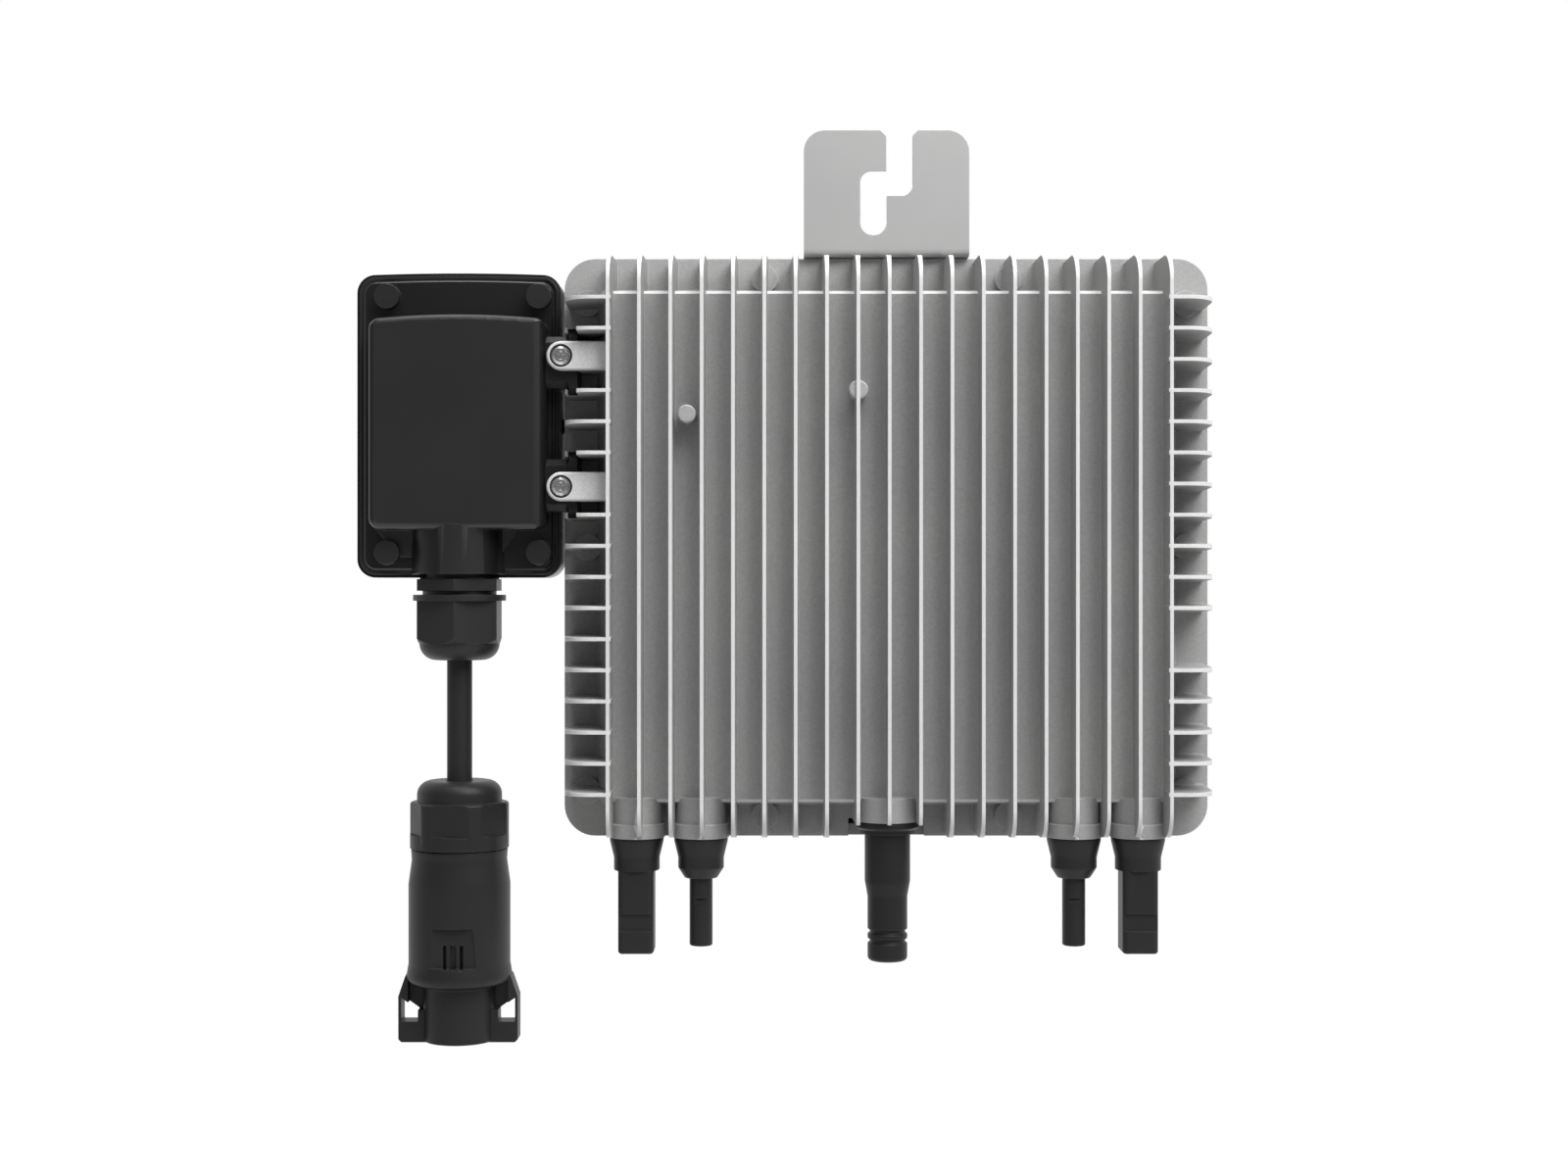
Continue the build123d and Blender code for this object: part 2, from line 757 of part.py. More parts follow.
def mounting_bracket():
    """Bent sheet: hook plate above the housing, a step back over the rim, a leg behind it."""
    plate_back = bracket_front + bracket_thick
    leg_back = cover_back() + bracket_thick
    step_top = bracket_foot + bracket_thick
    leg_low = bracket_foot - bracket_leg
    path = Polyline((bracket_front, bracket_top), (bracket_front, bracket_foot),
                    (cover_back(), bracket_foot), (cover_back(), leg_low), (leg_back, leg_low),
                    (leg_back, step_top), (plate_back, step_top), (plate_back, bracket_top), close=True)
    profile = make_face(path)
    inside_bends = ((cover_back(), bracket_foot), (plate_back, step_top))
    outside_bends = ((bracket_front, bracket_foot), (leg_back, step_top))
    inside = [v for v in profile.vertices() if near_any(v, inside_bends)]
    profile = fillet(inside, bracket_bend)
    outside = [v for v in profile.vertices() if near_any(v, outside_bends)]
    profile = fillet(outside, bracket_bend + bracket_thick)
    sheet_plane = Plane(origin=(-bracket_half_width, 0, 0), x_dir=(0, 1, 0), z_dir=(1, 0, 0))
    sheet = extrude(sheet_plane * profile, 2 * bracket_half_width)
    sheet -= hook_slot(bracket_front - overlap, plate_back + overlap)
    top_corners = sheet.edges().filter_by(Axis.Y).group_by(Axis.Z)[-1].sort_by(Axis.X)
    sheet = chamfer(top_corners[1:3], slot_lead_in)
    top_corners = sheet.edges().filter_by(Axis.Y).group_by(Axis.Z)[-1].sort_by(Axis.X)
    sheet = fillet([top_corners[0], top_corners[-1]], bracket_corner)
    low_corners = sheet.edges().filter_by(Axis.Y).group_by(Axis.Z)[0]
    sheet = fillet(low_corners, slot_corner)
    holes = [peg(m4_radius + screw_clear, cover_back(), leg_back, x, z) for x, z in bracket_posts()]
    return sheet.cut(*holes)


def near_any(vertex, places):
    return any(math.hypot(vertex.X - px, vertex.Y - py) < 1e-6 for px, py in places)


def hook_slot(front, back):
    """Entry from the top, a sideways step, then down into the round seat."""
    left = seat_x - seat_radius
    right = seat_x + seat_radius
    path = Polyline((entry_left, bracket_top + overlap), (entry_left, seat_slot_top), (left, seat_slot_top),
                    (left, seat_z), (right, seat_z), (right, entry_floor),
                    (entry_right, entry_floor),
                    (entry_right, bracket_top + overlap), close=True)
    face = make_face(path)
    soft = [v for v in face.vertices() if near_any(v, ((left, seat_slot_top), (entry_right, entry_floor)))]
    face = fillet(soft, slot_corner)
    face += Pos(seat_x, seat_z) * Circle(seat_radius)
    return extrude(facing(back) * face, back - front)


def bracket_screws():
    seat = cover_back() + bracket_thick
    return [screw(m4_radius, m4_head, m4_head_high, bracket_screw_long, x, seat, z, -1)
            for x, z in bracket_posts()]


def main_circuit_board():
    back = board_front + board_thick
    board = slab(2 * board_half_width, 2 * board_half_height, board_corner, board_front, back)
    return board.cut(*[peg(m3_radius + screw_clear, board_front, back, x, z) for x, z in board_posts()])


def board_screws():
    seat = board_front + board_thick
    return [screw(m3_radius, m3_head, m3_head_high, board_screw_long, x, seat, z, -1)
            for x, z in board_posts()]


def power_transformer(x):
    """Flat ferrite core around a wound bobbin, standing on the board."""
    wide, rise, tall = transformer_size
    core = Box(wide, rise, tall) - Box(bobbin_wide, bobbin_rise, tall)
    bobbin = Box(bobbin_wide, bobbin_rise, tall + bobbin_over)
    bobbin = fillet(bobbin.edges().filter_by(Axis.Z), core_edge)
    return Pos(x, board_front - rise / 2, transformer_z) * (core + bobbin)


def storage_capacitor(index):
    """Lying can with a rolled groove near its seal end."""
    x = capacitor_first[0] + index * capacitor_step
    low = capacitor_first[1]
    high = low + capacitor_long
    groove = low + capacitor_groove_low
    points = [(0, low), (capacitor_radius, low), (capacitor_radius, groove),
              (capacitor_radius - capacitor_groove_deep, groove + capacitor_groove_wide / 2),
              (capacitor_radius, groove + capacitor_groove_wide), (capacitor_radius, high), (0, high)]
    return turned(points, x, board_front - capacitor_radius)


def film_capacitor():
    wide, rise, tall = film_size
    block = Pos(film_spot[0], board_front - rise / 2, film_spot[1]) * Box(wide, rise, tall)
    return chamfer(block.edges().group_by(Axis.Y)[0], film_edge)


def filter_choke():
    x, z = choke_spot
    core = peg(choke_radius, board_front - choke_rise, board_front, x, z)
    core -= peg(choke_hole, board_front - choke_rise, board_front, x, z)
    return fillet(core.edges().group_by(Axis.Y)[0], core_edge)


def transistor_xs():
    middle = (transistor_count - 1) / 2
    return [(i - middle) * transistor_pitch for i in range(transistor_count)]


def transistor_pad():
    floor = -block_rise + block_wall
    wide = transistor_count * transistor_pitch
    tall = transistor_size[2] + pad_over
    return Pos(0, floor + pad_thick / 2, transistor_z) * Box(wide, pad_thick, tall)


def power_transistors():
    wide, rise, tall = transistor_size
    floor = -block_rise + block_wall + pad_thick
    return [Pos(x, floor + rise / 2, transistor_z) * Box(wide, rise, tall) for x in transistor_xs()]


def radio_module():
    wide, rise, tall = radio_size
    x, z = radio_spot
    carrier = Pos(x, board_front - radio_board_thick / 2, z) * Box(wide, radio_board_thick, tall)
    can = Pos(x, board_front - rise / 2, z + radio_can_lift) * Box(radio_can[0], rise, radio_can[1])
    return carrier + can


def connector_collar(collar_end):
    """Outline points shared by all four connectors, from the stub down to the collar's end."""
    stub_top = -block_half_height + block_wall + port_stub_over
    return [(0, stub_top), (port_bore - port_fit, stub_top), (port_bore - port_fit, port_face),
            (collar_radius, port_face), (collar_radius, port_face - collar_straight),
            (collar_waist, collar_cone_end), (collar_waist, collar_end)]


def dc_socket(x):
    """Wide connector: a deep open mouth around its pin."""
    body = turned(connector_collar(socket_collar_end) + [(0, socket_collar_end)], x, port_y)
    tall = socket_collar_end - socket_end
    outline = RectangleRounded(socket_width, socket_depth, socket_corner)
    housing = extrude(Plane(origin=(x, port_y, socket_end)) * outline, tall)
    housing = chamfer(housing.faces().sort_by(Axis.Z)[0].outer_wire().edges(), socket_edge)
    band_top, band_low = socket_band
    groove = Box(2 * socket_width, 2 * socket_band_depth, band_top - band_low)
    housing -= Pos(x, port_y - socket_depth / 2, (band_top + band_low) / 2) * groove
    body += housing
    body -= bar(socket_mouth, socket_end, socket_end + socket_mouth_deep, x, port_y)
    return body - bar(contact_radius + contact_fit, socket_end, port_face + 2 * body_height, x, port_y)


def dc_plug(x):
    """Narrow connector: a round nose with a catch at the front, around its contact tube."""
    catch_top, catch_low = plug_catch
    points = connector_collar(plug_collar_end) + [
        (plug_shoulder, plug_shoulder_end), (plug_nose, plug_shoulder_end),
        (plug_nose, plug_end + plug_tip_edge), (plug_nose - plug_tip_edge, plug_end), (0, plug_end)]
    body = turned(points, x, port_y)
    front = port_y - plug_nose
    ramp = Polyline((front - overlap, catch_top), (front + plug_catch_depth, catch_top),
                    (front, catch_low), (front - overlap, catch_low), close=True)
    side = Plane(origin=(x - plug_nose, 0, 0), x_dir=(0, 1, 0), z_dir=(1, 0, 0))
    body -= extrude(side * make_face(ramp), 2 * plug_nose)
    body -= bar(contact_tube_radius + contact_fit, plug_end, plug_end + contact_tube_long, x, port_y)
    return body - bar(contact_radius + contact_fit, plug_end, port_face + 2 * body_height, x, port_y)


def contact_tail(x):
    """Rod through the connector's stub, turned back to the board."""
    reach = board_front - port_y
    tail = Pos(x, port_y, contact_tail_z) * Rot(-90, 0, 0) * Cylinder(
        contact_radius, reach, align=(Align.CENTER, Align.CENTER, Align.MIN))
    return tail + Pos(x, port_y, contact_tail_z) * Sphere(contact_radius)


def dc_socket_pin(x):
    tip = socket_end + contact_tip_inset
    points = [(0, tip), (pin_tip_radius, tip), (contact_radius, tip + pin_tip_long),
              (contact_radius, contact_tail_z), (0, contact_tail_z)]
    return turned(points, x, port_y) + contact_tail(x)


def dc_plug_contact(x):
    mouth = plug_end + contact_recess
    top = plug_end + contact_tube_long
    tube = bar(contact_tube_radius, mouth, top, x, port_y)
    rod = bar(contact_radius, top - overlap, contact_tail_z, x, port_y)
    bore = bar(contact_bore, mouth, top - contact_bore_floor, x, port_y)
    return tube + rod + contact_tail(x) - bore


def dc_port_seals():
    low = port_face
    high = port_face + port_seal_depth
    outer = port_seal_outer - port_seal_squeeze
    return [ring(outer, port_seal_inner + port_seal_squeeze, low, high, x, port_y)
            for x in port_xs()]


def antenna_seal():
    low = antenna_face - antenna_seal_thick
    outer = antenna_collar - antenna_seal_inset
    return ring(outer, antenna_bore + antenna_seal_inset, low, antenna_face, 0.0, port_y)


def antenna_base():
    """Collar against the boss, with a threaded stub above and a spigot for the sleeve."""
    top = -block_half_height + block_wall + port_stub_over
    seat = antenna_face - antenna_seal_thick
    low = antenna_foot_end - antenna_spigot_long
    points = [(0, top), (antenna_bore - port_fit, top), (antenna_bore - port_fit, seat),
              (antenna_collar, seat), (antenna_collar, antenna_collar_end + antenna_collar_edge),
              (antenna_collar - antenna_collar_edge, antenna_collar_end), (antenna_foot, antenna_collar_end),
              (antenna_foot, antenna_foot_end), (antenna_spigot, antenna_foot_end),
              (antenna_spigot, low), (0, low)]
    base = turned(points, 0.0, port_y)
    return base - bar(antenna_rod + contact_fit, low, low + antenna_spigot_long / 2, 0.0, port_y)


def antenna_sleeve():
    """Moulded cover: a straight top, a taper, two grooves and a rounded end."""
    top = antenna_foot_end
    taper_top, taper_low = sleeve_taper
    half = sleeve_groove_wide / 2
    slim = sleeve_low_radius - sleeve_groove_deep
    points = [(0, top), (sleeve_top_radius, top), (sleeve_top_radius, taper_top),
              (sleeve_low_radius, taper_low)]
    for z in sleeve_grooves:
        points += [(sleeve_low_radius, z + half), (slim, z + half / 2), (slim, z - half / 2),
                   (sleeve_low_radius, z - half)]
    points += [(sleeve_low_radius, sleeve_end), (0, sleeve_end)]
    sleeve = turned(points, 0.0, port_y)
    sleeve = fillet(sleeve.edges().group_by(Axis.Z)[0], sleeve_round)
    sleeve -= bar(antenna_spigot + antenna_fit, top - antenna_spigot_long, top, 0.0, port_y)
    return sleeve - bar(antenna_rod + contact_fit, sleeve_end + antenna_rod_inset, top, 0.0, port_y)


def antenna_radiator():
    top = antenna_foot_end - antenna_spigot_long / 2
    return bar(antenna_rod, sleeve_end + antenna_rod_inset, top, 0.0, port_y)


def knob_spots():
    return [(knob_x + sx * knob_half_x, knob_z + sz * knob_half_z) for sx in (-1, 1) for sz in (-1, 1)]


def crowned(width, height, radius, crown, front, back, x, z):
    """Rounded slab whose upper edge bows up in the middle."""
    half, top = width / 2, height / 2
    sides = Polyline((-half, top - crown), (-half, -top), (half, -top), (half, top - crown))
    arch = ThreePointArc((half, top - crown), (0, top), (-half, top - crown))
    outline = make_face(sides + arch)
    outline = fillet(outline.vertices(), radius)
    return extrude(facing(back, x, z) * outline, back - front)


def pillar_radius():
    return knob_radius - pillar_inset


def pillar_webs(front, back):
    """Webs that tie the screw pillars to the side walls of the relay box."""
    result = []
    for x, z in knob_spots():
        wall_x = relay_x + math.copysign(relay_width / 2 - relay_wall / 2, x - relay_x)
        web = Box(abs(wall_x - x), back - front, relay_wall)
        result.append(Pos((x + wall_x) / 2, (front + back) / 2, z) * web)
    return result


def relay_outline(inset, front, back):
    corner = relay_corner - inset * relay_corner_follow
    return crowned(relay_width - 2 * inset, relay_height - 2 * inset, corner, relay_crown,
                   front, back, relay_x, relay_z)


def raised_outline(inset, front, back):
    corner = raised_corner - inset * raised_corner_follow
    return crowned(raised_width - 2 * inset, raised_height - 2 * inset, corner, raised_crown,
                   front, back, raised_x, raised_z)


def relay_ears():
    """Two ears that reach over the flange under the cast lugs, with wider ends."""
    front = -lug_front + lug_thick
    back = -ear_clear
    box_side = raised_x + raised_width / 2 - relay_wall / 2
    result = []
    for z in ear_heights():
        neck = Pos((box_side + ear_end_x) / 2, (front + back) / 2, z) * Box(
            ear_end_x - box_side, back - front, 2 * ear_half)
        end = Pos((ear_step_x + ear_end_x) / 2, (front + back) / 2, z) * Box(
            ear_end_x - ear_step_x, back - front, 2 * ear_end_half)
        ear = neck + end
        result.append(chamfer(ear.edges().filter_by(Axis.X).group_by(Axis.Y)[0], ear_slope))
    return result


def relay_box_shell():
    front = relay_front - relay_field_rise
    solid = relay_outline(0.0, relay_front, relay_rim_back)
    solid += relay_rim()
    panel = relay_outline(relay_field_inset, front, relay_front)
    solid += chamfer(panel.faces().sort_by(Axis.Y)[0].edges(), relay_field_edge)
    field = raised_outline(0.0, raised_front, relay_front)
    field = fillet(field.faces().sort_by(Axis.Y)[0].edges(), raised_edge)
    field -= raised_side_cut()
    neck_top = raised_z - raised_height / 2 + neck_into_field
    neck = bar(neck_radius, neck_end, neck_top, neck_x, neck_y)
    gussets = relay_gussets(front)
    knobs = [peg(knob_radius, front - knob_rise, front + overlap, x, z) for x, z in knob_spots()]
    solid = solid.fuse(field, neck, *gussets, *knobs, *relay_ears())
    solid -= behind_the_rim()
    solid -= relay_cavity()
    for x, z in knob_spots():
        solid -= peg(m3_radius + thread_clear, relay_rim_back - relay_screw_long, relay_rim_back, x, z)
    ear_front = -lug_front + lug_thick
    for z in lug_heights():
        solid -= peg(insert_radius, ear_front, ear_front + insert_long, lug_hole_x, z)
    solid -= bar(gland_stub + gland_fit, relay_foot - overlap, relay_foot + relay_height / 4, neck_x, neck_y)
    right_wall = relay_x + relay_width / 2
    return solid - link_hole(right_wall - relay_wall - overlap, right_wall + overlap)


def relay_rim():
    """Raised band round the front, with a groove inside it."""
    top = relay_front - relay_rim_rise
    band = relay_outline(relay_rim_inset, top, relay_front)
    return band - relay_outline(relay_groove_inset, top - overlap, top + relay_groove_deep)


def raised_side_cut():
    """Rounds the side of the raised field towards the housing more softly than the others."""
    side = raised_x + raised_width / 2
    middle = (side - raised_side_edge / 2, raised_front + raised_side_edge / 2, relay_z)
    cut = Pos(*middle) * Box(raised_side_edge, raised_side_edge, relay_height)
    centre = (side - raised_side_edge, raised_front + raised_side_edge, relay_z)
    return cut - Pos(*centre) * Cylinder(raised_side_edge, relay_height)


def behind_the_rim():
    middle = relay_rim_back + relay_width / 2
    return Pos(relay_x, middle, relay_z) * Box(2 * relay_width, relay_width, 2 * relay_height)


def relay_gussets(front):
    """Flat webs between the neck and the lower edge of the raised field."""
    top = raised_z - raised_height / 2 + overlap
    result = []
    for far, near in zip(gusset_far, gusset_near):
        inner = neck_x + near / 2
        points = Polyline((inner, top), (neck_x + far, top), (neck_x + near, gusset_low),
                          (inner, gusset_low), close=True)
        result.append(extrude(facing(front + overlap) * make_face(points), overlap + gusset_thick))
    return result


def relay_cavity():
    wall = relay_wall
    room = slab(relay_width - 2 * wall, relay_height - 2 * wall, relay_corner - wall,
                relay_front + relay_room_step, relay_rim_back, relay_x, relay_z)
    room += raised_outline(wall, raised_front + wall, relay_rim_back)
    room -= bar(neck_radius - overlap, relay_foot, raised_z - raised_height / 2 + wall,
                neck_x, neck_y)
    for x, z in knob_spots():
        room -= peg(pillar_radius(), relay_front - pillar_deep, relay_rim_back, x, z)
    for web in pillar_webs(relay_front, relay_rim_back):
        room -= web
    for x, z in relay_board_posts():
        room -= peg(relay_post_radius, raised_front, relay_board_front, x, z)
        room -= peg(relay_pin_radius, raised_front, relay_board_back() + relay_pin_over, x, z)
    for z in ear_heights():
        room -= Pos(relay_x + relay_width / 2, 0, z) * Box(2 * wall, 4 * fin_rise, 2 * ear_half)
    return room


def relay_board_posts():
    tall = relay_board_size[2] / 2 - board_post_gap
    return [(raised_x, relay_board_z + tall), (raised_x, relay_board_z - tall)]


def relay_box_gasket():
    back = relay_rim_back + relay_gasket_thick
    band = relay_outline(relay_gasket_inset, relay_rim_back, back)
    band -= relay_outline(relay_gasket_width, relay_rim_back, back)
    spots = knob_spots()
    band = band.fuse(*[peg(pillar_radius(), relay_rim_back, back, x, z) for x, z in spots],
                     *pillar_webs(relay_rim_back, back))
    return band.cut(*[peg(m3_radius + screw_clear, relay_rim_back, back, x, z) for x, z in spots])


def relay_box_lid():
    front = relay_rim_back + relay_gasket_thick
    back = front + relay_lid_thick
    lid = relay_outline(0.0, front, back)
    lid = chamfer(lid.faces().sort_by(Axis.Y)[-1].outer_wire().edges(), relay_lid_edge)
    for x, z in knob_spots():
        lid -= peg(m3_radius + screw_clear, front, back, x, z)
        lid -= peg(m3_head + screw_clear, back - m3_head_high, back, x, z)
    return lid


def relay_box_screws():
    seat = relay_rim_back + relay_gasket_thick + relay_lid_thick - m3_head_high
    return [screw(m3_radius, m3_head, m3_head_high, relay_screw_long, x, seat, z, -1)
            for x, z in knob_spots()]


def relay_board():
    wide, tall = relay_board_size[0], relay_board_size[2]
    back = relay_board_back()
    board = slab(wide, tall, board_corner, relay_board_front, back, raised_x, relay_board_z)
    hole = relay_pin_radius + link_fit
    return board.cut(*[peg(hole, relay_board_front, back, x, z) for x, z in relay_board_posts()])


def relay_board_back():
    return relay_board_front + relay_board_size[1]


def board_relay(side):
    wide, rise, tall = relay_size
    x = raised_x + side * relay_gap / 2
    block = Pos(x, relay_board_front - rise / 2, relay_board_z + relay_stand) * Box(wide, rise, tall)
    return chamfer(block.edges().group_by(Axis.Y)[0], relay_edge)


def terminal_block():
    """Three clamp ways side by side, open towards the gland."""
    wide, rise, tall = terminal_size
    z = relay_board_z - relay_board_size[2] / 2 + terminal_from_foot
    block = Pos(raised_x, relay_board_front - rise / 2, z) * Box(wide, rise, tall)
    for index in (-1, 0, 1):
        x = raised_x + index * wide / 3
        block -= bar(terminal_way, z - tall / 2, z, x, relay_board_front - rise / 2)
    return block


def link_sleeve():
    """Moulded lead that takes the current from the housing into the relay box."""
    left = relay_x + relay_width / 2 - link_reach
    right = -body_width / 2 + link_reach
    return Pos(left, link_y, link_z) * Rot(0, 90, 0) * Cylinder(
        link_radius - link_fit, right - left, align=(Align.CENTER, Align.CENTER, Align.MIN))


def lug_screws():
    seat = -lug_front + lug_sink_depth
    return [screw(m4_radius, lug_screw_head, m4_head_high, lug_screw_long, lug_hole_x, seat, z, 1)
            for z in lug_heights()]


def ear_inserts():
    front = -lug_front + lug_thick
    back = front + insert_long
    return [peg(insert_radius - contact_seat_fit, front, back, lug_hole_x, z)
            - peg(m4_radius + thread_clear, front, back, lug_hole_x, z) for z in lug_heights()]


def hexagon(low, high):
    shape = Rot(0, 0, hex_turn) * RegularPolygon(hex_flats / 2, 6, major_radius=False)
    return extrude(Plane(origin=(neck_x, neck_y, low)) * shape, high - low)


def gland_seal_ring():
    high = relay_foot
    outer = hex_flats / 2 - gland_seal_inset
    return ring(outer, gland_stub + gland_fit, high - gland_seal_thick, high, neck_x, neck_y)


def gland_body():
    """Hexagon with a threaded stub into the box and a threaded neck for the dome nut."""
    top = relay_foot - gland_seal_thick
    body = hexagon(gland_hex_end, top)
    body += bar(gland_stub, top, gland_stub_top, neck_x, neck_y)
    body += bar(gland_thread, gland_thread_end, gland_hex_end, neck_x, neck_y)
    return body - bar(gland_bore(), gland_thread_end, gland_stub_top, neck_x, neck_y)


def gland_bore():
    return gland_thread - gland_wall


def gland_insert():
    """Rubber bush squeezed round the cable."""
    outer = gland_bore() - gland_insert_fit
    return ring(outer, cable_radius + cable_fit, cable_top, gland_insert_top, neck_x, neck_y)


def gland_nut():
    """Dome nut: a thin ring, a hexagon and a rounded end that closes on the cable."""
    nut = hexagon(gland_nut_end, gland_ring_top)
    blank = bar(gland_ring, gland_nut_end, gland_ring_top, neck_x, neck_y)
    nut &= chamfer(blank.edges().group_by(Axis.Z)[0], gland_nut_edge)
    nut += bar(gland_ring, gland_ring_end, gland_ring_top, neck_x, neck_y)
    dome = bar(gland_dome, gland_face, gland_nut_end, neck_x, neck_y)
    nut += fillet(dome.edges().group_by(Axis.Z)[0], gland_dome_round)
    inside = bar(gland_thread + gland_fit, cable_top, gland_ring_top, neck_x, neck_y)
    inside += bar(cable_radius + cable_clear, gland_face, cable_top, neck_x, neck_y)
    return nut - inside


def ac_cable():
    return bar(cable_radius, cable_end, cable_top, neck_x, neck_y)


def coupler_nut_piece():
    """Clamping nut: domed mouth, six flats for the spanner and a plain skirt."""
    dome = bar(coupler_dome, coupler_nut_top, coupler_top, neck_x, neck_y)
    dome = fillet(dome.edges().group_by(Axis.Z)[-1], coupler_dome_round)
    skirt = bar(coupler_nut, coupler_nut_end, coupler_nut_top, neck_x, neck_y)
    nut = dome + chamfer(skirt.edges().group_by(Axis.Z)[-1], coupler_nut_edge)
    flat_high = coupler_nut_top - coupler_flat_end
    for index in range(coupler_flats):
        turn = coupler_turn + index * 360 / coupler_flats
        cutter = Pos(0, -(2 * coupler_nut - coupler_flat_depth), 0) * Box(
            2 * coupler_nut, 2 * coupler_nut, flat_high, align=(Align.CENTER, Align.CENTER, Align.MIN))
        nut -= Pos(neck_x, neck_y, coupler_flat_end) * Rot(0, 0, turn) * cutter
    roof = coupler_nut_top - coupler_nut_wall
    nut -= bar(coupler_spigot + gland_fit, coupler_nut_end, roof, neck_x, neck_y)
    return nut - bar(cable_radius + cable_clear, roof - overlap, coupler_top, neck_x, neck_y)


def coupler_bush():
    """Rubber bush between the nut and the cable."""
    high = coupler_nut_top - coupler_nut_wall
    low = high - coupler_bush_long
    return ring(coupler_spigot, cable_radius + cable_fit, low, high, neck_x, neck_y)


def coupler_shell():
    """Gripped body that flares into two guard arms around the mating barrel."""
    shoulder = coupler_nut_end - coupler_gap
    chin, throat = (coupler_flare_end - step for step in coupler_flare_steps)
    points = [(0, coupler_spigot_top), (coupler_spigot, coupler_spigot_top), (coupler_spigot, shoulder),
              (coupler_shoulder, shoulder), (coupler_waist, coupler_waist_z),
              (coupler_body, coupler_body_top), (coupler_body, coupler_body_end),
              (coupler_flare, coupler_flare_end), (coupler_body, chin),
              (barrel_radius, throat), (barrel_radius, coupler_end), (0, coupler_end)]
    shell = turned(points, neck_x, neck_y)
    shell += guard_arms()
    shell -= bar(barrel_bore, coupler_end, insert_top, neck_x, neck_y)
    shell -= bar(coupler_throat, insert_top - overlap, coupler_spigot_top, neck_x, neck_y)
    return shell - latch_cut()


def guard_arms():
    """Frame on each side: a sloping shoulder, a straight edge and a window."""
    arms = []
    for side in (-1, 1):
        outer = Polyline((side * guard_root, coupler_flare_end), (side * coupler_flare, coupler_flare_end),
                         (side * guard_half, guard_shoulder), (side * guard_half, guard_end + guard_edge),
                         (side * (guard_half - guard_edge), guard_end), (side * guard_root, guard_end),
                         close=True)
        window = Polyline((side * window_half_in, window_slope_end), (side * window_half_out, window_top),
                          (side * window_half_out, window_end), (side * window_half_in, window_end),
                         close=True)
        plate = extrude(facing(guard_depth / 2) * make_face(outer), guard_depth)
        plate -= extrude(facing(guard_depth) * make_face(window), 2 * guard_depth)
        plate -= guard_pocket(side)
        arms.append(Pos(neck_x, neck_y, 0) * plate)
    return arms


def guard_pocket(side):
    """Hollow in the front of an arm, between its sloping shoulder and the barrel."""
    wide = guard_pocket_out - guard_root
    high = coupler_flare_end - window_slope_end
    place = (side * (guard_pocket_out + guard_root) / 2, -guard_depth / 2,
             (coupler_flare_end + window_slope_end) / 2)
    return Pos(*place) * Box(wide, 2 * guard_pocket_deep, high)


def latch_cut():
    """Shallow field on the front with two slots and a groove, where the release tongue shows."""
    front = neck_y - coupler_body
    field = Polyline((-latch_half + latch_lean, latch_top), (latch_half - latch_lean, latch_top),
                     (latch_half, latch_end), (-latch_half, latch_end), close=True)
    cut = extrude(facing(front + latch_sink, neck_x) * make_face(field), 2 * latch_sink)
    slot_top, slot_low = latch_slot
    middle = (slot_top + slot_low) / 2
    cut += Pos(neck_x, front + latch_groove_deep / 2, middle) * Box(
        latch_groove_wide, latch_groove_deep, slot_top - slot_low)
    for side in (-1, 1):
        cut += Pos(neck_x + side * latch_slot_x, front + latch_slot_deep / 2, middle) * Box(
            latch_slot_wide, latch_slot_deep, slot_top - slot_low)
    return cut


def coupler_insert():
    """Contact carrier, set back from the mouth."""
    carrier = bar(barrel_bore - insert_fit, insert_face, insert_top - insert_gap, neck_x, neck_y)
    for x, y in coupler_contact_spots():
        carrier -= bar(coupler_contact_radius + contact_seat_fit, insert_face, insert_top, x, y)
    return carrier


def coupler_contact_spots():
    return [(neck_x + coupler_contact_ring * math.sin(math.radians(a)),
             neck_y - coupler_contact_ring * math.cos(math.radians(a))) for a in (0, 120, 240)]


def coupler_contacts():
    return [bar(coupler_contact_radius, coupler_contact_tip, coupler_contact_root, x, y)
            for x, y in coupler_contact_spots()]


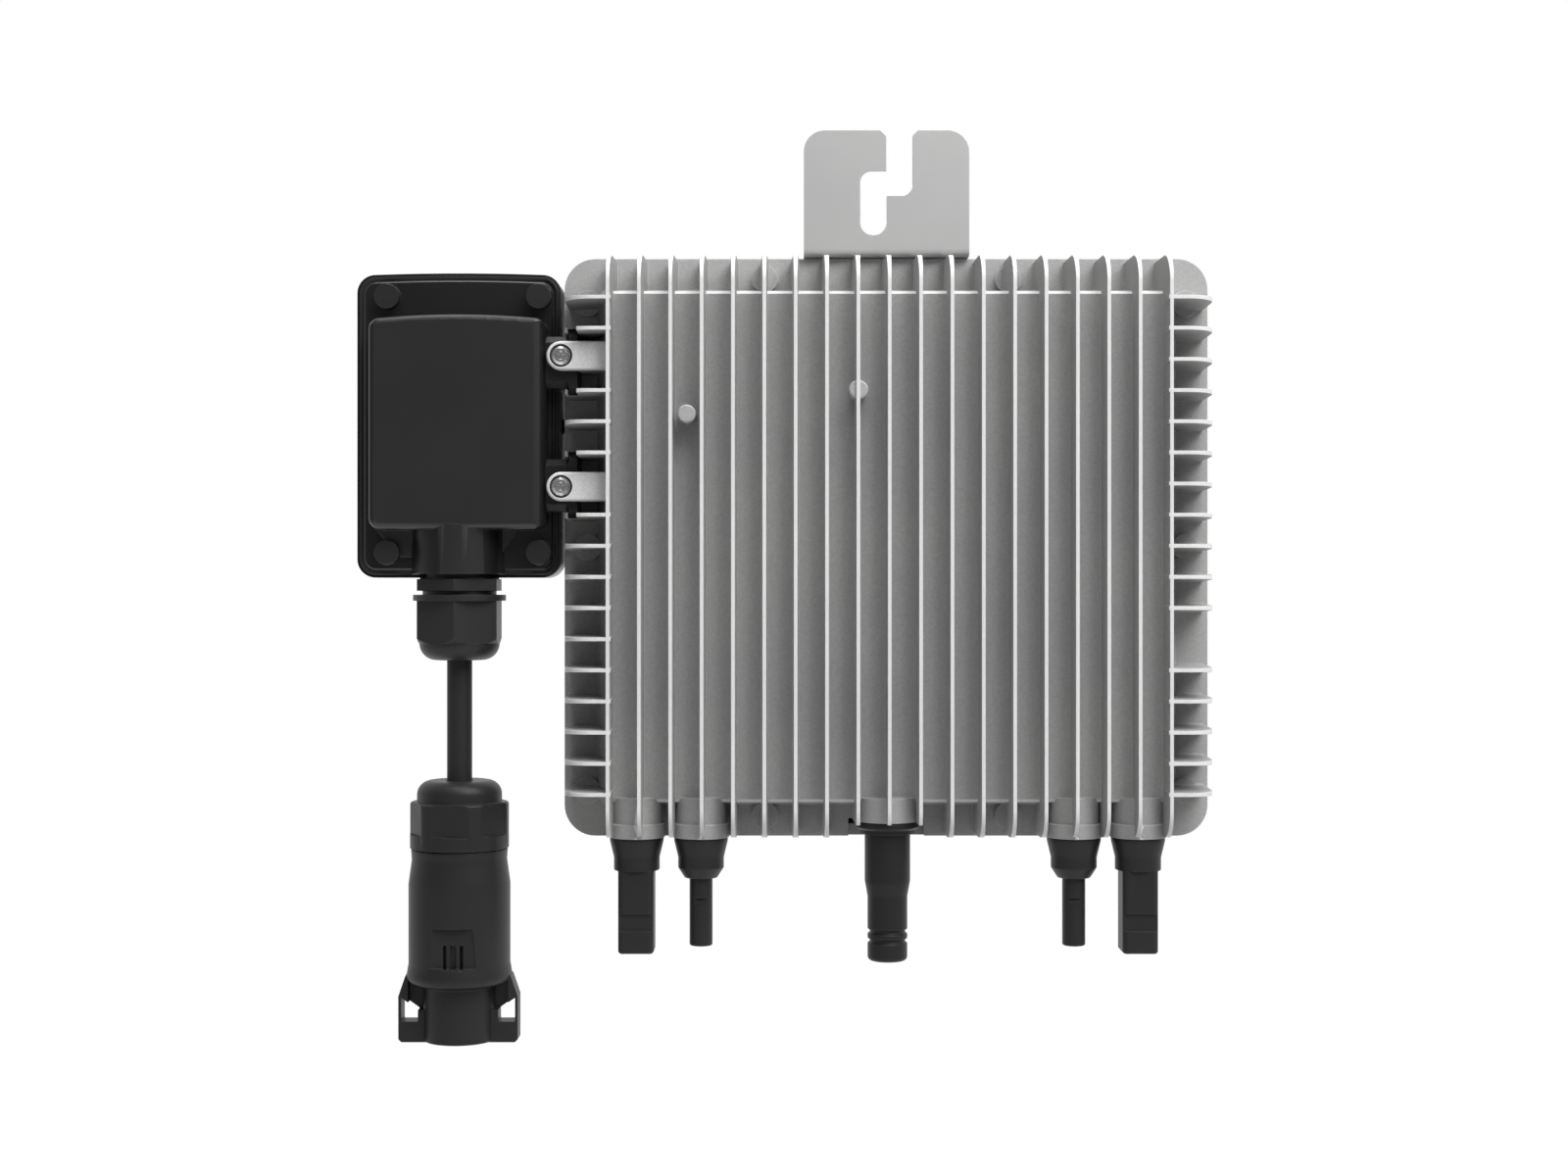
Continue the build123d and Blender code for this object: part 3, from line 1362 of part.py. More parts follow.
def node_parts():
    parts = {
        "heatsink_housing": heatsink_housing(),
        "cover_gasket": cover_gasket(),
        "rear_cover": rear_cover(),
        "cover_screws": cover_screws(),
        "mounting_bracket": mounting_bracket(),
        "bracket_screws": bracket_screws(),
        "main_circuit_board": main_circuit_board(),
        "board_screws": board_screws(),
        "power_transformer_left": power_transformer(-transformer_x),
        "power_transformer_right": power_transformer(transformer_x),
        "film_capacitor": film_capacitor(),
        "filter_choke": filter_choke(),
        "transistor_pad": transistor_pad(),
        "power_transistors": power_transistors(),
        "radio_module": radio_module(),
        "dc_port_seals": dc_port_seals(),
        "antenna_seal": antenna_seal(),
        "antenna_base": antenna_base(),
        "antenna_sleeve": antenna_sleeve(),
        "antenna_radiator": antenna_radiator(),
        "relay_box_shell": relay_box_shell(),
        "relay_box_gasket": relay_box_gasket(),
        "relay_box_lid": relay_box_lid(),
        "relay_box_screws": relay_box_screws(),
        "relay_board": relay_board(),
        "relay_left": board_relay(-1),
        "relay_right": board_relay(1),
        "terminal_block": terminal_block(),
        "link_sleeve": link_sleeve(),
        "lug_screws": lug_screws(),
        "ear_inserts": ear_inserts(),
        "gland_seal_ring": gland_seal_ring(),
        "gland_body": gland_body(),
        "gland_insert": gland_insert(),
        "gland_nut": gland_nut(),
        "ac_cable": ac_cable(),
        "coupler_nut": coupler_nut_piece(),
        "coupler_bush": coupler_bush(),
        "coupler_shell": coupler_shell(),
        "coupler_insert": coupler_insert(),
        "coupler_contacts": coupler_contacts(),
    }
    for index in range(4):
        parts[f"storage_capacitor_{index + 1}"] = storage_capacitor(index)
    for name, side in (("left", -1), ("right", 1)):
        parts[f"dc_socket_{name}"] = dc_socket(side * socket_x)
        parts[f"dc_socket_pin_{name}"] = dc_socket_pin(side * socket_x)
        parts[f"dc_plug_{name}"] = dc_plug(side * plug_x)
        parts[f"dc_plug_contact_{name}"] = dc_plug_contact(side * plug_x)
    return parts


def main():
    os.makedirs("parts", exist_ok=True)
    origin = Pos(-seat_x, -(bracket_front + bracket_thick / 2), -seat_z)
    for name, shape in node_parts().items():
        solids = shape if isinstance(shape, list) else [shape]
        placed = [origin * solid for solid in solids]
        export_step(placed[0] if len(placed) == 1 else Compound(children=placed), f"parts/{name}.step")
        print(name, len(solids))


main()
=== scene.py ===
import json
import math

import bpy
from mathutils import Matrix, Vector


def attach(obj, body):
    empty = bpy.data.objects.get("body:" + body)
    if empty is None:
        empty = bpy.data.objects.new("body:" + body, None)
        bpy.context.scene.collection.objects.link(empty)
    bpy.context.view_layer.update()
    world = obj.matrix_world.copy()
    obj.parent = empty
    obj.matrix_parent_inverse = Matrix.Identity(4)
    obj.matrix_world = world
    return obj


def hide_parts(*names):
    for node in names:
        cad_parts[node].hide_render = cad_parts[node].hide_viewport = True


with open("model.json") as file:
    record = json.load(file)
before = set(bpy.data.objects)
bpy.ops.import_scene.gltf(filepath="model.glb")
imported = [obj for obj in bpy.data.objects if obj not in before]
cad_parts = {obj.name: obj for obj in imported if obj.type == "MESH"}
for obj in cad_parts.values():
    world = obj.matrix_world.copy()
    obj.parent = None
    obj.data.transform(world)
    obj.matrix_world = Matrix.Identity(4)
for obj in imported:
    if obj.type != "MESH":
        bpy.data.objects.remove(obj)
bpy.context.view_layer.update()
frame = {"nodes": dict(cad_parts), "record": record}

nodes = frame["nodes"]
print("frame loaded")


# camera and cord come first

cameraView = {
    "place": (-0.03175, -0.7728, -0.1298), "tilt": 90, "lens": 50.0, "sensorWidth": 36.0, "nearest": 0.01,
}

bpy.ops.object.camera_add(location=cameraView["place"], rotation=(math.radians(cameraView["tilt"]), 0, 0))
photoCamera = bpy.context.object
photoCamera.name = "photoCamera"
photoCamera.data.lens = cameraView["lens"]
photoCamera.data.sensor_width = cameraView["sensorWidth"]
photoCamera.data.clip_start = cameraView["nearest"]
bpy.context.scene.camera = photoCamera
print("camera set")


# the cord hangs straight from the gland down into the coupler
cordRoute = {
    "points": [(-0.14685, 0.0, -0.1503), (-0.14685, 0.0, -0.1838), (-0.14685, 0.0, -0.2173)],
    "exit": (-0.14685, 0.0, -0.1553),
    "diameter": 0.0089,
    "length": 0.067,
    "stepsRound": 10,
    "stepsAlong": 24,
}


def makeCord():
    curve = bpy.data.curves.new("outputCord", "CURVE")
    curve.dimensions = "3D"
    curve.bevel_depth = 1.0  # each point's radius gives the cord's own
    curve.bevel_resolution = cordRoute["stepsRound"]
    curve.resolution_u = cordRoute["stepsAlong"]
    curve.use_fill_caps = True
    line = curve.splines.new("NURBS")
    line.points.add(len(cordRoute["points"]) - 1)
    for point, place in zip(line.points, cordRoute["points"]):
        point.co = (*place, 1.0)
        point.radius = cordRoute["diameter"] / 2
    line.order_u = 3
    line.use_endpoint_u = True
    cord = bpy.data.objects.new("outputCord", curve)
    bpy.context.scene.collection.objects.link(cord)
    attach(cord, "root")
    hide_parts("ac_cable")
    return cord


outputCord = makeCord()
print("cord laid")


# small helpers for building node trees

def feed(tree, socket, value):
    # a number or a colour is set, anything else is linked
    if isinstance(value, (int, float)):
        socket.default_value = value
    elif isinstance(value, tuple):
        socket.default_value = (*value, 1.0)
    else:
        tree.links.new(value, socket)


def addNode(tree, kind, place, **settings):
    node = tree.nodes.new(kind)
    node.location = place
    for key, value in settings.items():
        setattr(node, key, value)
    return node


def addMath(tree, operation, place, *values, clamp=False):
    node = addNode(tree, "ShaderNodeMath", place, operation=operation, use_clamp=clamp)
    for socket, value in zip(node.inputs, values):
        feed(tree, socket, value)
    return node.outputs[0]


def addRange(tree, place, value, source=(0.0, 1.0), target=(0.0, 1.0)):
    node = addNode(tree, "ShaderNodeMapRange", place)
    for label, number in zip(("From Min", "From Max", "To Min", "To Max"), (*source, *target)):
        node.inputs[label].default_value = number
    tree.links.new(value, node.inputs["Value"])
    return node.outputs[0]


def addNoise(tree, place, vector, scale, detail=2.0, roughness=0.5):
    node = addNode(tree, "ShaderNodeTexNoise", place)
    node.inputs["Detail"].default_value = detail
    node.inputs["Roughness"].default_value = roughness
    tree.links.new(vector, node.inputs["Vector"])
    feed(tree, node.inputs["Scale"], scale)
    return node.outputs[0]


def mixColour(tree, place, factor, low, high, blend="MIX"):
    node = addNode(tree, "ShaderNodeMix", place, data_type="RGBA", blend_type=blend)
    for index, value in ((0, factor), (6, low), (7, high)):
        feed(tree, node.inputs[index], value)
    return node.outputs[2]


# effects that several finishes share, each a node group

def startGroup(name, gauge, usual, outputs):
    # every group takes a place on the surface and one number, its gauge
    tree = bpy.data.node_groups.new(name, "ShaderNodeTree")
    tree.interface.new_socket("Vector", in_out="INPUT", socket_type="NodeSocketVector")
    number = tree.interface.new_socket(gauge, in_out="INPUT", socket_type="NodeSocketFloat")
    number.default_value = usual
    for label in outputs:
        tree.interface.new_socket(label, in_out="OUTPUT", socket_type="NodeSocketFloat")
    start = addNode(tree, "NodeGroupInput", (-900, 0))
    end = addNode(tree, "NodeGroupOutput", (900, 0))
    return tree, start.outputs["Vector"], start.outputs[gauge], end.inputs


# fine blasted grain of a die casting, with a few soft pits
castGrain = {
    "scale": 900.0, "detail": 5.0, "roughness": 0.65, "pitScale": 0.55, "pitShare": 0.5,
    "speckles": (0.38, 0.62),
}


def makeCastSkin():
    tree, spot, scale, ends = startGroup("castSkin", "Scale", castGrain["scale"], ("Height", "Speckle"))
    fine = addNoise(tree, (-600, 200), spot, scale, castGrain["detail"], castGrain["roughness"])
    pits = addNode(tree, "ShaderNodeTexVoronoi", (-600, -150), feature="SMOOTH_F1")
    pitScale = addMath(tree, "MULTIPLY", (-750, -150), scale, castGrain["pitScale"])
    tree.links.new(spot, pits.inputs["Vector"])
    tree.links.new(pitScale, pits.inputs["Scale"])
    height = addMath(tree, "MULTIPLY_ADD", (0, 100), pits.outputs["Distance"], castGrain["pitShare"], fine)
    tree.links.new(height, ends["Height"])
    tree.links.new(addRange(tree, (300, -150), fine, source=castGrain["speckles"]), ends["Speckle"])
    return tree


# slow change of tone over a surface
toneDrift = {"scale": 25.0, "detail": 3.0, "spread": (0.3, 0.7)}


def makeBroadTone():
    tree, spot, scale, ends = startGroup("broadTone", "Scale", toneDrift["scale"], ("Tone",))
    noise = addNoise(tree, (-300, 0), spot, scale, toneDrift["detail"])
    tree.links.new(addRange(tree, (200, 0), noise, source=toneDrift["spread"]), ends["Tone"])
    return tree


# mask of the sharp edges, broken up a little, that lightens them: partly wear where handling polishes
# them, partly a painted highlight where an edge would catch the light
edgeWearAndHighlightSettings = {
    "gain": 4.0, "reach": 0.0006, "samples": 4, "patchScale": 260.0, "patchShare": 0.8, "least": 0.5,
}


def makeEdgeWearAndHighlight():
    tree, spot, gain, ends = startGroup("edgeWearAndHighlight", "Gain", edgeWearAndHighlightSettings["gain"], ("Mask",))
    soft = addNode(tree, "ShaderNodeBevel", (-600, 200), samples=edgeWearAndHighlightSettings["samples"])
    soft.inputs["Radius"].default_value = edgeWearAndHighlightSettings["reach"]
    plain = addNode(tree, "ShaderNodeNewGeometry", (-600, -50))
    both = addNode(tree, "ShaderNodeVectorMath", (-300, 100), operation="DOT_PRODUCT")
    tree.links.new(soft.outputs["Normal"], both.inputs[0])
    tree.links.new(plain.outputs["Normal"], both.inputs[1])
    turned = addMath(tree, "SUBTRACT", (-100, 100), 1.0, both.outputs["Value"])
    gained = addMath(tree, "MULTIPLY", (100, 100), turned, gain)
    patches = addNoise(tree, (-300, -250), spot, edgeWearAndHighlightSettings["patchScale"])
    broken = addMath(
        tree, "MULTIPLY_ADD", (100, -200), patches, edgeWearAndHighlightSettings["patchShare"], edgeWearAndHighlightSettings["least"])
    mask = addMath(tree, "MULTIPLY", (400, 0), gained, broken, clamp=True)
    tree.links.new(mask, ends["Mask"])
    return tree


# spark-eroded grain of a moulding
mouldGrain = {"scale": 1600.0, "detail": 4.0, "roughness": 0.7}


def makeMouldSkin():
    tree, spot, scale, ends = startGroup("mouldSkin", "Scale", mouldGrain["scale"], ("Height",))
    noise = addNoise(tree, (-400, 0), spot, scale, mouldGrain["detail"], mouldGrain["roughness"])
    tree.links.new(noise, ends["Height"])
    return tree


# faint lines that rolling leaves in sheet metal, along Z
rolling = {"scale": 1.0, "stretch": (1800.0, 1800.0, 60.0), "detail": 2.0}


def makeRolledLines():
    tree, spot, scale, ends = startGroup("rolledLines", "Scale", rolling["scale"], ("Height",))
    stretch = addNode(tree, "ShaderNodeMapping", (-600, 0))
    stretch.inputs["Scale"].default_value = rolling["stretch"]
    tree.links.new(spot, stretch.inputs["Vector"])
    noise = addNoise(tree, (-300, 0), stretch.outputs[0], scale, rolling["detail"])
    tree.links.new(noise, ends["Height"])
    return tree


castSkin = makeCastSkin()
broadTone = makeBroadTone()
edgeWearAndHighlight = makeEdgeWearAndHighlight()
mouldSkin = makeMouldSkin()
rolledLines = makeRolledLines()


# finishes

def addGroup(tree, group, place, vector, **values):
    node = addNode(tree, "ShaderNodeGroup", place, node_tree=group)
    tree.links.new(vector, node.inputs["Vector"])
    for label, value in values.items():
        node.inputs[label].default_value = value
    return node.outputs


def startFinish(name, look):
    # colour that drifts over the surface, and the mask of its edges, partly worn and partly lit with a
    # painted highlight
    material = bpy.data.materials.new(name)
    material.use_nodes = True
    tree = material.node_tree
    spot = addNode(tree, "ShaderNodeTexCoord", (-1200, 0)).outputs["Object"]
    tone = addGroup(tree, broadTone, (-900, 100), spot, Scale=look["toneScale"])["Tone"]
    wearAndHighlight = addGroup(tree, edgeWearAndHighlight, (-900, 350), spot, Gain=look["edgeGain"])["Mask"]
    base = mixColour(tree, (-600, 100), tone, look["dark"], look["light"])
    return material, spot, base, wearAndHighlight, tone


def endFinish(material, look, base, wearAndHighlight, roughBy, height):
    tree = material.node_tree
    shader = tree.nodes["Principled BSDF"]
    # edges turn towards the edge colour: wear, and a painted highlight
    wornAndHighlitColour = mixColour(tree, (-200, 200), wearAndHighlight, base, look["edge"])
    tree.links.new(wornAndHighlitColour, shader.inputs["Base Color"])
    rough = addRange(tree, (-400, -250), roughBy, target=look["roughness"])
    tree.links.new(rough, shader.inputs["Roughness"])
    bump = addNode(tree, "ShaderNodeBump", (-200, -400))
    bump.inputs["Strength"].default_value = look["bump"]
    bump.inputs["Distance"].default_value = look["bumpDepth"]
    tree.links.new(height, bump.inputs["Height"])
    tree.links.new(bump.outputs[0], shader.inputs["Normal"])
    return shader


def makeCastMetal(name, look):
    material, spot, base, wearAndHighlight, _ = startFinish(name, look)
    tree = material.node_tree
    skin = addGroup(tree, castSkin, (-900, -200), spot, Scale=look["grain"])
    speck = mixColour(tree, (-600, -100), skin["Speckle"], look["speckDark"], look["speckLight"])
    both = mixColour(tree, (-400, 50), 1.0, base, speck, blend="MULTIPLY")
    shader = endFinish(material, look, both, wearAndHighlight, skin["Speckle"], skin["Height"])
    shader.inputs["Metallic"].default_value = look["metallic"]
    return material


def makeSheetMetal(name, look):
    material, spot, base, wearAndHighlight, _ = startFinish(name, look)
    lines = addGroup(material.node_tree, rolledLines, (-900, -200), spot)["Height"]
    shader = endFinish(material, look, base, wearAndHighlight, lines, lines)
    shader.inputs["Metallic"].default_value = look["metallic"]
    return material


def makePlastic(name, look):
    material, spot, base, wearAndHighlight, tone = startFinish(name, look)
    skin = addGroup(material.node_tree, mouldSkin, (-900, -200), spot, Scale=look["grain"])["Height"]
    shader = endFinish(material, look, base, wearAndHighlight, tone, skin)
    shader.inputs["Specular IOR Level"].default_value = look["specular"]
    return material


castLook = {
    "dark": (0.40, 0.40, 0.40), "light": (0.46, 0.46, 0.455), "toneScale": 14.0,
    "speckDark": (0.86, 0.86, 0.86), "speckLight": (1.0, 1.0, 1.0), "grain": 1100.0,
    "edge": (0.72, 0.72, 0.72), "edgeGain": 2.5, "metallic": 0.0,
    "roughness": (0.48, 0.60), "bump": 0.25, "bumpDepth": 0.0002,
}
# tip finish, much lighter than the casting: a painted highlight on the fin and rib tips, the block's
# chamfered edges and the lug edges
tipHighlightLook = dict(
    castLook, dark=(0.76, 0.76, 0.76), light=(0.82, 0.82, 0.815), speckDark=(0.95, 0.95, 0.95),
    edge=(0.82, 0.82, 0.82), roughness=(0.36, 0.44), bump=0.08)
# much lighter colour for the lug fronts: painted light
lugLitLook = dict(
    castLook, dark=(0.74, 0.74, 0.74), light=(0.80, 0.80, 0.795), edge=(0.82, 0.82, 0.82), bump=0.10)
# near-black cast finish for the screw sinks: painted shade
sinkShadeLook = dict(
    castLook, dark=(0.08, 0.08, 0.08), light=(0.11, 0.11, 0.11), edge=(0.30, 0.30, 0.30), bump=0.10)
coverLook = dict(castLook, dark=(0.38, 0.38, 0.38), light=(0.42, 0.42, 0.42), grain=1400.0, bump=0.15)
sheetLook = {
    "dark": (0.52, 0.52, 0.52), "light": (0.56, 0.56, 0.555), "toneScale": 18.0,
    "edge": (0.75, 0.75, 0.75), "edgeGain": 2.0, "metallic": 0.5,
    "roughness": (0.36, 0.46), "bump": 0.05, "bumpDepth": 0.0001,
}
screwLook = dict(
    sheetLook, dark=(0.56, 0.56, 0.56), light=(0.66, 0.66, 0.65), metallic=1.0, toneScale=300.0,
    roughness=(0.20, 0.28))
canLook = dict(sheetLook, metallic=0.8)
contactLook = dict(
    sheetLook, dark=(0.55, 0.45, 0.24), light=(0.62, 0.52, 0.30), edge=(0.75, 0.65, 0.42),
    metallic=1.0, toneScale=120.0)
boxLook = {
    "dark": (0.0165, 0.0165, 0.0168), "light": (0.0185, 0.0185, 0.0188), "toneScale": 20.0,
    "edge": (0.06, 0.06, 0.062), "edgeGain": 1.5, "specular": 0.45, "grain": 1500.0,
    "roughness": (0.28, 0.34), "bump": 0.10, "bumpDepth": 0.0001,
}
rimLook = dict(
    boxLook, dark=(0.0035, 0.0035, 0.0037), light=(0.0050, 0.0050, 0.0052), edge=(0.012, 0.012, 0.0125),
    roughness=(0.55, 0.62), specular=0.12)
# duller, darker black: the darker colour is painted shade
dullShadeLook = dict(
    boxLook, dark=(0.0075, 0.0075, 0.0077), light=(0.0095, 0.0095, 0.0097), roughness=(0.36, 0.42),
    specular=0.28)
glandLook = dict(
    boxLook, dark=(0.0190, 0.0190, 0.0193), light=(0.0215, 0.0215, 0.0218), roughness=(0.38, 0.46),
    specular=0.25, bump=0.06)
connectorLook = dict(
    boxLook, dark=(0.018, 0.018, 0.0185), light=(0.022, 0.022, 0.0225), grain=2200.0,
    roughness=(0.40, 0.46), specular=0.22, bump=0.05)
antennaLook = dict(connectorLook, dark=(0.014, 0.014, 0.0145), light=(0.019, 0.019, 0.0195))
cordLook = dict(
    connectorLook, dark=(0.019, 0.019, 0.0195), light=(0.023, 0.023, 0.0235), roughness=(0.50, 0.60))
rubberLook = dict(boxLook, roughness=(0.65, 0.75), specular=0.25)
boardLook = dict(
    boxLook, dark=(0.01, 0.07, 0.03), light=(0.015, 0.10, 0.045), edge=(0.25, 0.23, 0.12), bump=0.03)
ferriteLook = dict(boxLook, dark=(0.03, 0.03, 0.032), light=(0.05, 0.05, 0.053), roughness=(0.6, 0.7))
filmLook = dict(
    boxLook, dark=(0.30, 0.24, 0.10), light=(0.36, 0.29, 0.13), edge=(0.45, 0.38, 0.2), bump=0.02)
padLook = dict(boxLook, dark=(0.25, 0.28, 0.32), light=(0.30, 0.33, 0.37), edge=(0.35, 0.38, 0.42))
terminalLook = dict(boxLook, dark=(0.05, 0.09, 0.06), light=(0.07, 0.12, 0.08), edge=(0.12, 0.18, 0.13))

finishes = {
    "cast_aluminium": makeCastMetal("castAluminium", castLook),
    "cover_aluminium": makeCastMetal("coverAluminium", coverLook),
    "bracket_steel": makeSheetMetal("bracketSheet", sheetLook),
    "screw_steel": makeSheetMetal("screwSteel", screwLook),
    "capacitor_can": makeSheetMetal("capacitorCan", canLook),
    "radio_can": makeSheetMetal("radioCan", canLook),
    "contact_metal": makeSheetMetal("contactMetal", contactLook),
    "box_black": makePlastic("boxBlack", boxLook),
    "gland_black": makePlastic("glandBlack", glandLook),
    "connector_black": makePlastic("connectorBlack", connectorLook),
    "antenna_black": makePlastic("antennaBlack", antennaLook),
    "seal_rubber": makePlastic("sealRubber", rubberLook),
    "cable_black": makePlastic("cordBlack", cordLook),
    "board": makePlastic("boardGreen", boardLook),
    "ferrite": makePlastic("ferriteGrey", ferriteLook),
    "relay_case": makePlastic("relayCase", ferriteLook),
    "moulded_black": makePlastic("mouldedBlack", connectorLook),
    "film_case": makePlastic("filmCase", filmLook),
    "silicone_pad": makePlastic("siliconePad", padLook),
    "terminal_grey": makePlastic("terminalGrey", terminalLook),
}
paintedHighlightTip = makeCastMetal("paintedHighlightTip", tipHighlightLook)
lugLitFront = makeCastMetal("lugLitFront", lugLitLook)
sinkShade = makeCastMetal("sinkShade", sinkShadeLook)
boxRim = makePlastic("boxRim", rimLook)
dullShadedBlack = makePlastic("boxDullShade", dullShadeLook)
outputCord.data.materials.append(finishes["cable_black"])

# every solid gets its finish here, also the ones that stay as they are
slotOf = {part["node"]: part["material_slot"] for part in frame["record"]["subparts"]}
for nodeName, node in nodes.items():
    node.material_slots[0].material = finishes[slotOf[nodeName]]
print("finishes made")


# shaping that several pieces share, with reaches in metres and angles in degrees
shaping = {"merge": 0.00001, "smooth": 32, "flat": 0.5, "bevelSteps": 2, "flatWeight": 100}


def onlySelect(piece):
    if bpy.context.object and bpy.context.object.mode != "OBJECT":
        bpy.ops.object.mode_set(mode="OBJECT")
    bpy.ops.object.select_all(action="DESELECT")
    piece.select_set(True)
    bpy.context.view_layer.objects.active = piece


def mergedCopy(nodeName, pieceName):
    # copy of a solid with its triangles joined, in its own finish
    piece = bpy.data.objects.new(pieceName, nodes[nodeName].data.copy())
    bpy.context.scene.collection.objects.link(piece)
    onlySelect(piece)
    bpy.ops.object.mode_set(mode="EDIT")
    bpy.ops.mesh.select_all(action="SELECT")
    bpy.ops.mesh.remove_doubles(threshold=shaping["merge"])
    bpy.ops.mesh.customdata_custom_splitnormals_clear()
    bpy.ops.object.mode_set(mode="OBJECT")
    piece.data.materials.clear()
    piece.data.materials.append(finishes[slotOf[nodeName]])
    return piece


def standIn(piece, nodeName):
    # the piece takes the solid's place
    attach(piece, "root")
    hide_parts(nodeName)


def applyModifier(piece, name, kind, **settings):
    onlySelect(piece)
    modifier = piece.modifiers.new(name, kind)
    for key, value in settings.items():
        setattr(modifier, key, value)
    bpy.ops.object.modifier_apply(modifier=modifier.name)


def roundEdges(piece, width, angle):
    applyModifier(piece, "roundEdges", "BEVEL", width=width, segments=shaping["bevelSteps"],
                  limit_method="ANGLE", angle_limit=math.radians(angle), use_clamp_overlap=False,
                  harden_normals=False)
    bpy.ops.object.shade_smooth_by_angle(angle=math.radians(shaping["smooth"]))
    applyModifier(piece, "flatFaces", "WEIGHTED_NORMAL", keep_sharp=True, weight=shaping["flatWeight"])


def giveFinish(piece, wanted, material):
    # puts a second finish on the faces that the test picks
    piece.data.materials.append(material)
    onlySelect(piece)
    bpy.ops.object.mode_set(mode="EDIT")
    bpy.ops.mesh.select_mode(type="FACE")
    bpy.ops.mesh.select_all(action="DESELECT")
    bpy.ops.object.mode_set(mode="OBJECT")
    for face in piece.data.polygons:
        face.select = wanted(face)
    print(material.name, sum(face.select for face in piece.data.polygons))
    bpy.ops.object.mode_set(mode="EDIT")
    piece.active_material_index = len(piece.data.materials) - 1
    bpy.ops.object.material_slot_assign()
    bpy.ops.object.mode_set(mode="OBJECT")


# tips of fins and ribs and the chamfered edges of the raised block take a much lighter colour, a painted
# highlight where these edges would catch the lamps. The table gives where their rows stand and how wide a
# tip may be, how far the raised block reaches, its chamfered edge and the round pads
tipRows = {
    "finMiddle": 0.00465, "finPitch": 0.01080, "ribMiddle": -0.1153, "ribPitch": 0.01073,
    "front": -0.0230, "frontReach": 0.00003, "deepest": -0.0128, "facing": -0.12,
    "wide": 0.0024, "reach": 0.0016, "alike": 0.04,
    "blockHalf": 0.0970, "edgeFront": -0.0116, "edgeBack": -0.0102, "edgeLean": (-0.76, 0.65),
    "pads": ((-0.06535, -0.0697), (-0.00605, -0.0614)), "padReach": 0.0039,
}


def fromRow(place, middle, pitch):
    # how far a place is from the middle of the nearest fin or rib
    return abs(((place - middle) / pitch + 0.5) % 1.0 - 0.5) * pitch


def nearSpot(centre, spots, reach):
    return any(math.hypot(centre.x - x, centre.z - z) < reach for x, z in spots)


def takesTipHighlight(face):
    corners = [face.id_data.vertices[index].co for index in face.vertices]
    normal = face.normal
    centre = face.center
    if all(corner.y < tipRows["front"] + tipRows["frontReach"] for corner in corners):
        return True
    # the chamfered top and bottom edges of the raised block get the painted highlight too
    leanY, leanZ = tipRows["edgeLean"]
    leans = abs(normal.y - leanY) < tipRows["alike"] and abs(abs(normal.z) - leanZ) < tipRows["alike"]
    if leans and tipRows["edgeFront"] < centre.y < tipRows["edgeBack"]:
        return True
    if normal.y > tipRows["facing"] or max(corner.y for corner in corners) > tipRows["deepest"]:
        return False
    if nearSpot(centre, tipRows["pads"], tipRows["padReach"]):
        return False
    spanX = max(corner.x for corner in corners) - min(corner.x for corner in corners)
    spanZ = max(corner.z for corner in corners) - min(corner.z for corner in corners)
    onFin = (abs(normal.x) < tipRows["alike"] and spanX < tipRows["wide"]
             and fromRow(centre.x, tipRows["finMiddle"], tipRows["finPitch"]) < tipRows["reach"])
    onRib = (abs(normal.z) < tipRows["alike"] and spanZ < tipRows["wide"]
             and abs(centre.x - tipRows["finMiddle"]) > tipRows["blockHalf"]
             and fromRow(centre.z, tipRows["ribMiddle"], tipRows["ribPitch"]) < tipRows["reach"])
    return onFin or onRib


# cast lugs that hold the relay box: their fronts get a much lighter colour, painted light that lifts them
# out of the shade, and their edges get the painted highlight of the tips
lugPlace = {
    "inner": -0.0900, "front": -0.0165, "frontReach": 0.0002, "edgeReach": 0.0008,
    "flat": -0.95, "leaning": -0.4,
}


def takesLugLight(face):
    away = abs(face.center.y - lugPlace["front"])
    return (face.center.x < lugPlace["inner"] and away < lugPlace["frontReach"]
            and face.normal.y < lugPlace["flat"])


def takesLugEdgeHighlight(face):
    away = abs(face.center.y - lugPlace["front"])
    return (face.center.x < lugPlace["inner"] and away < lugPlace["edgeReach"]
            and lugPlace["flat"] < face.normal.y < lugPlace["leaning"])


# the screw heads sink into rings in the lugs, painted near-black: painted shade in the gap round each head
sink = {"spots": ((-0.10925, -0.04902), (-0.10925, -0.09454)), "radius": 0.0041, "front": -0.0163}


def takesSinkShade(face):
    return sink["front"] < face.center.y < 0 and nearSpot(face.center, sink["spots"], sink["radius"])


# duller faces of the relay box, their black also darkened as painted shade: the low panel round the raised
# part, its rolled sides and the ears
boxDullShade = {
    "panel": -0.0037, "panelReach": 0.0003, "panelFacing": -0.9,
    "raisedFrom": -0.0080, "sideLean": 0.25, "sideMost": 0.97, "farLean": 0.60, "upright": 0.3,
    "ears": -0.1162, "earFacing": -0.3,
}


def isDullShade(face):
    centre = face.center
    normal = face.normal
    onPanel = (abs(centre.y - boxDullShade["panel"]) < boxDullShade["panelReach"]
               and normal.y < boxDullShade["panelFacing"])
    # the rolled sides are picked by which way they turn, left or right, so their darker colour is painted
    # shade
    leans = -boxDullShade["sideMost"] < normal.x < -boxDullShade["sideLean"] or normal.x > boxDullShade["farLean"]
    rolled = centre.y < boxDullShade["raisedFrom"] and abs(normal.z) < boxDullShade["upright"] and leans
    onEar = centre.x > boxDullShade["ears"] and normal.y < boxDullShade["earFacing"]
    return onPanel or rolled or onEar


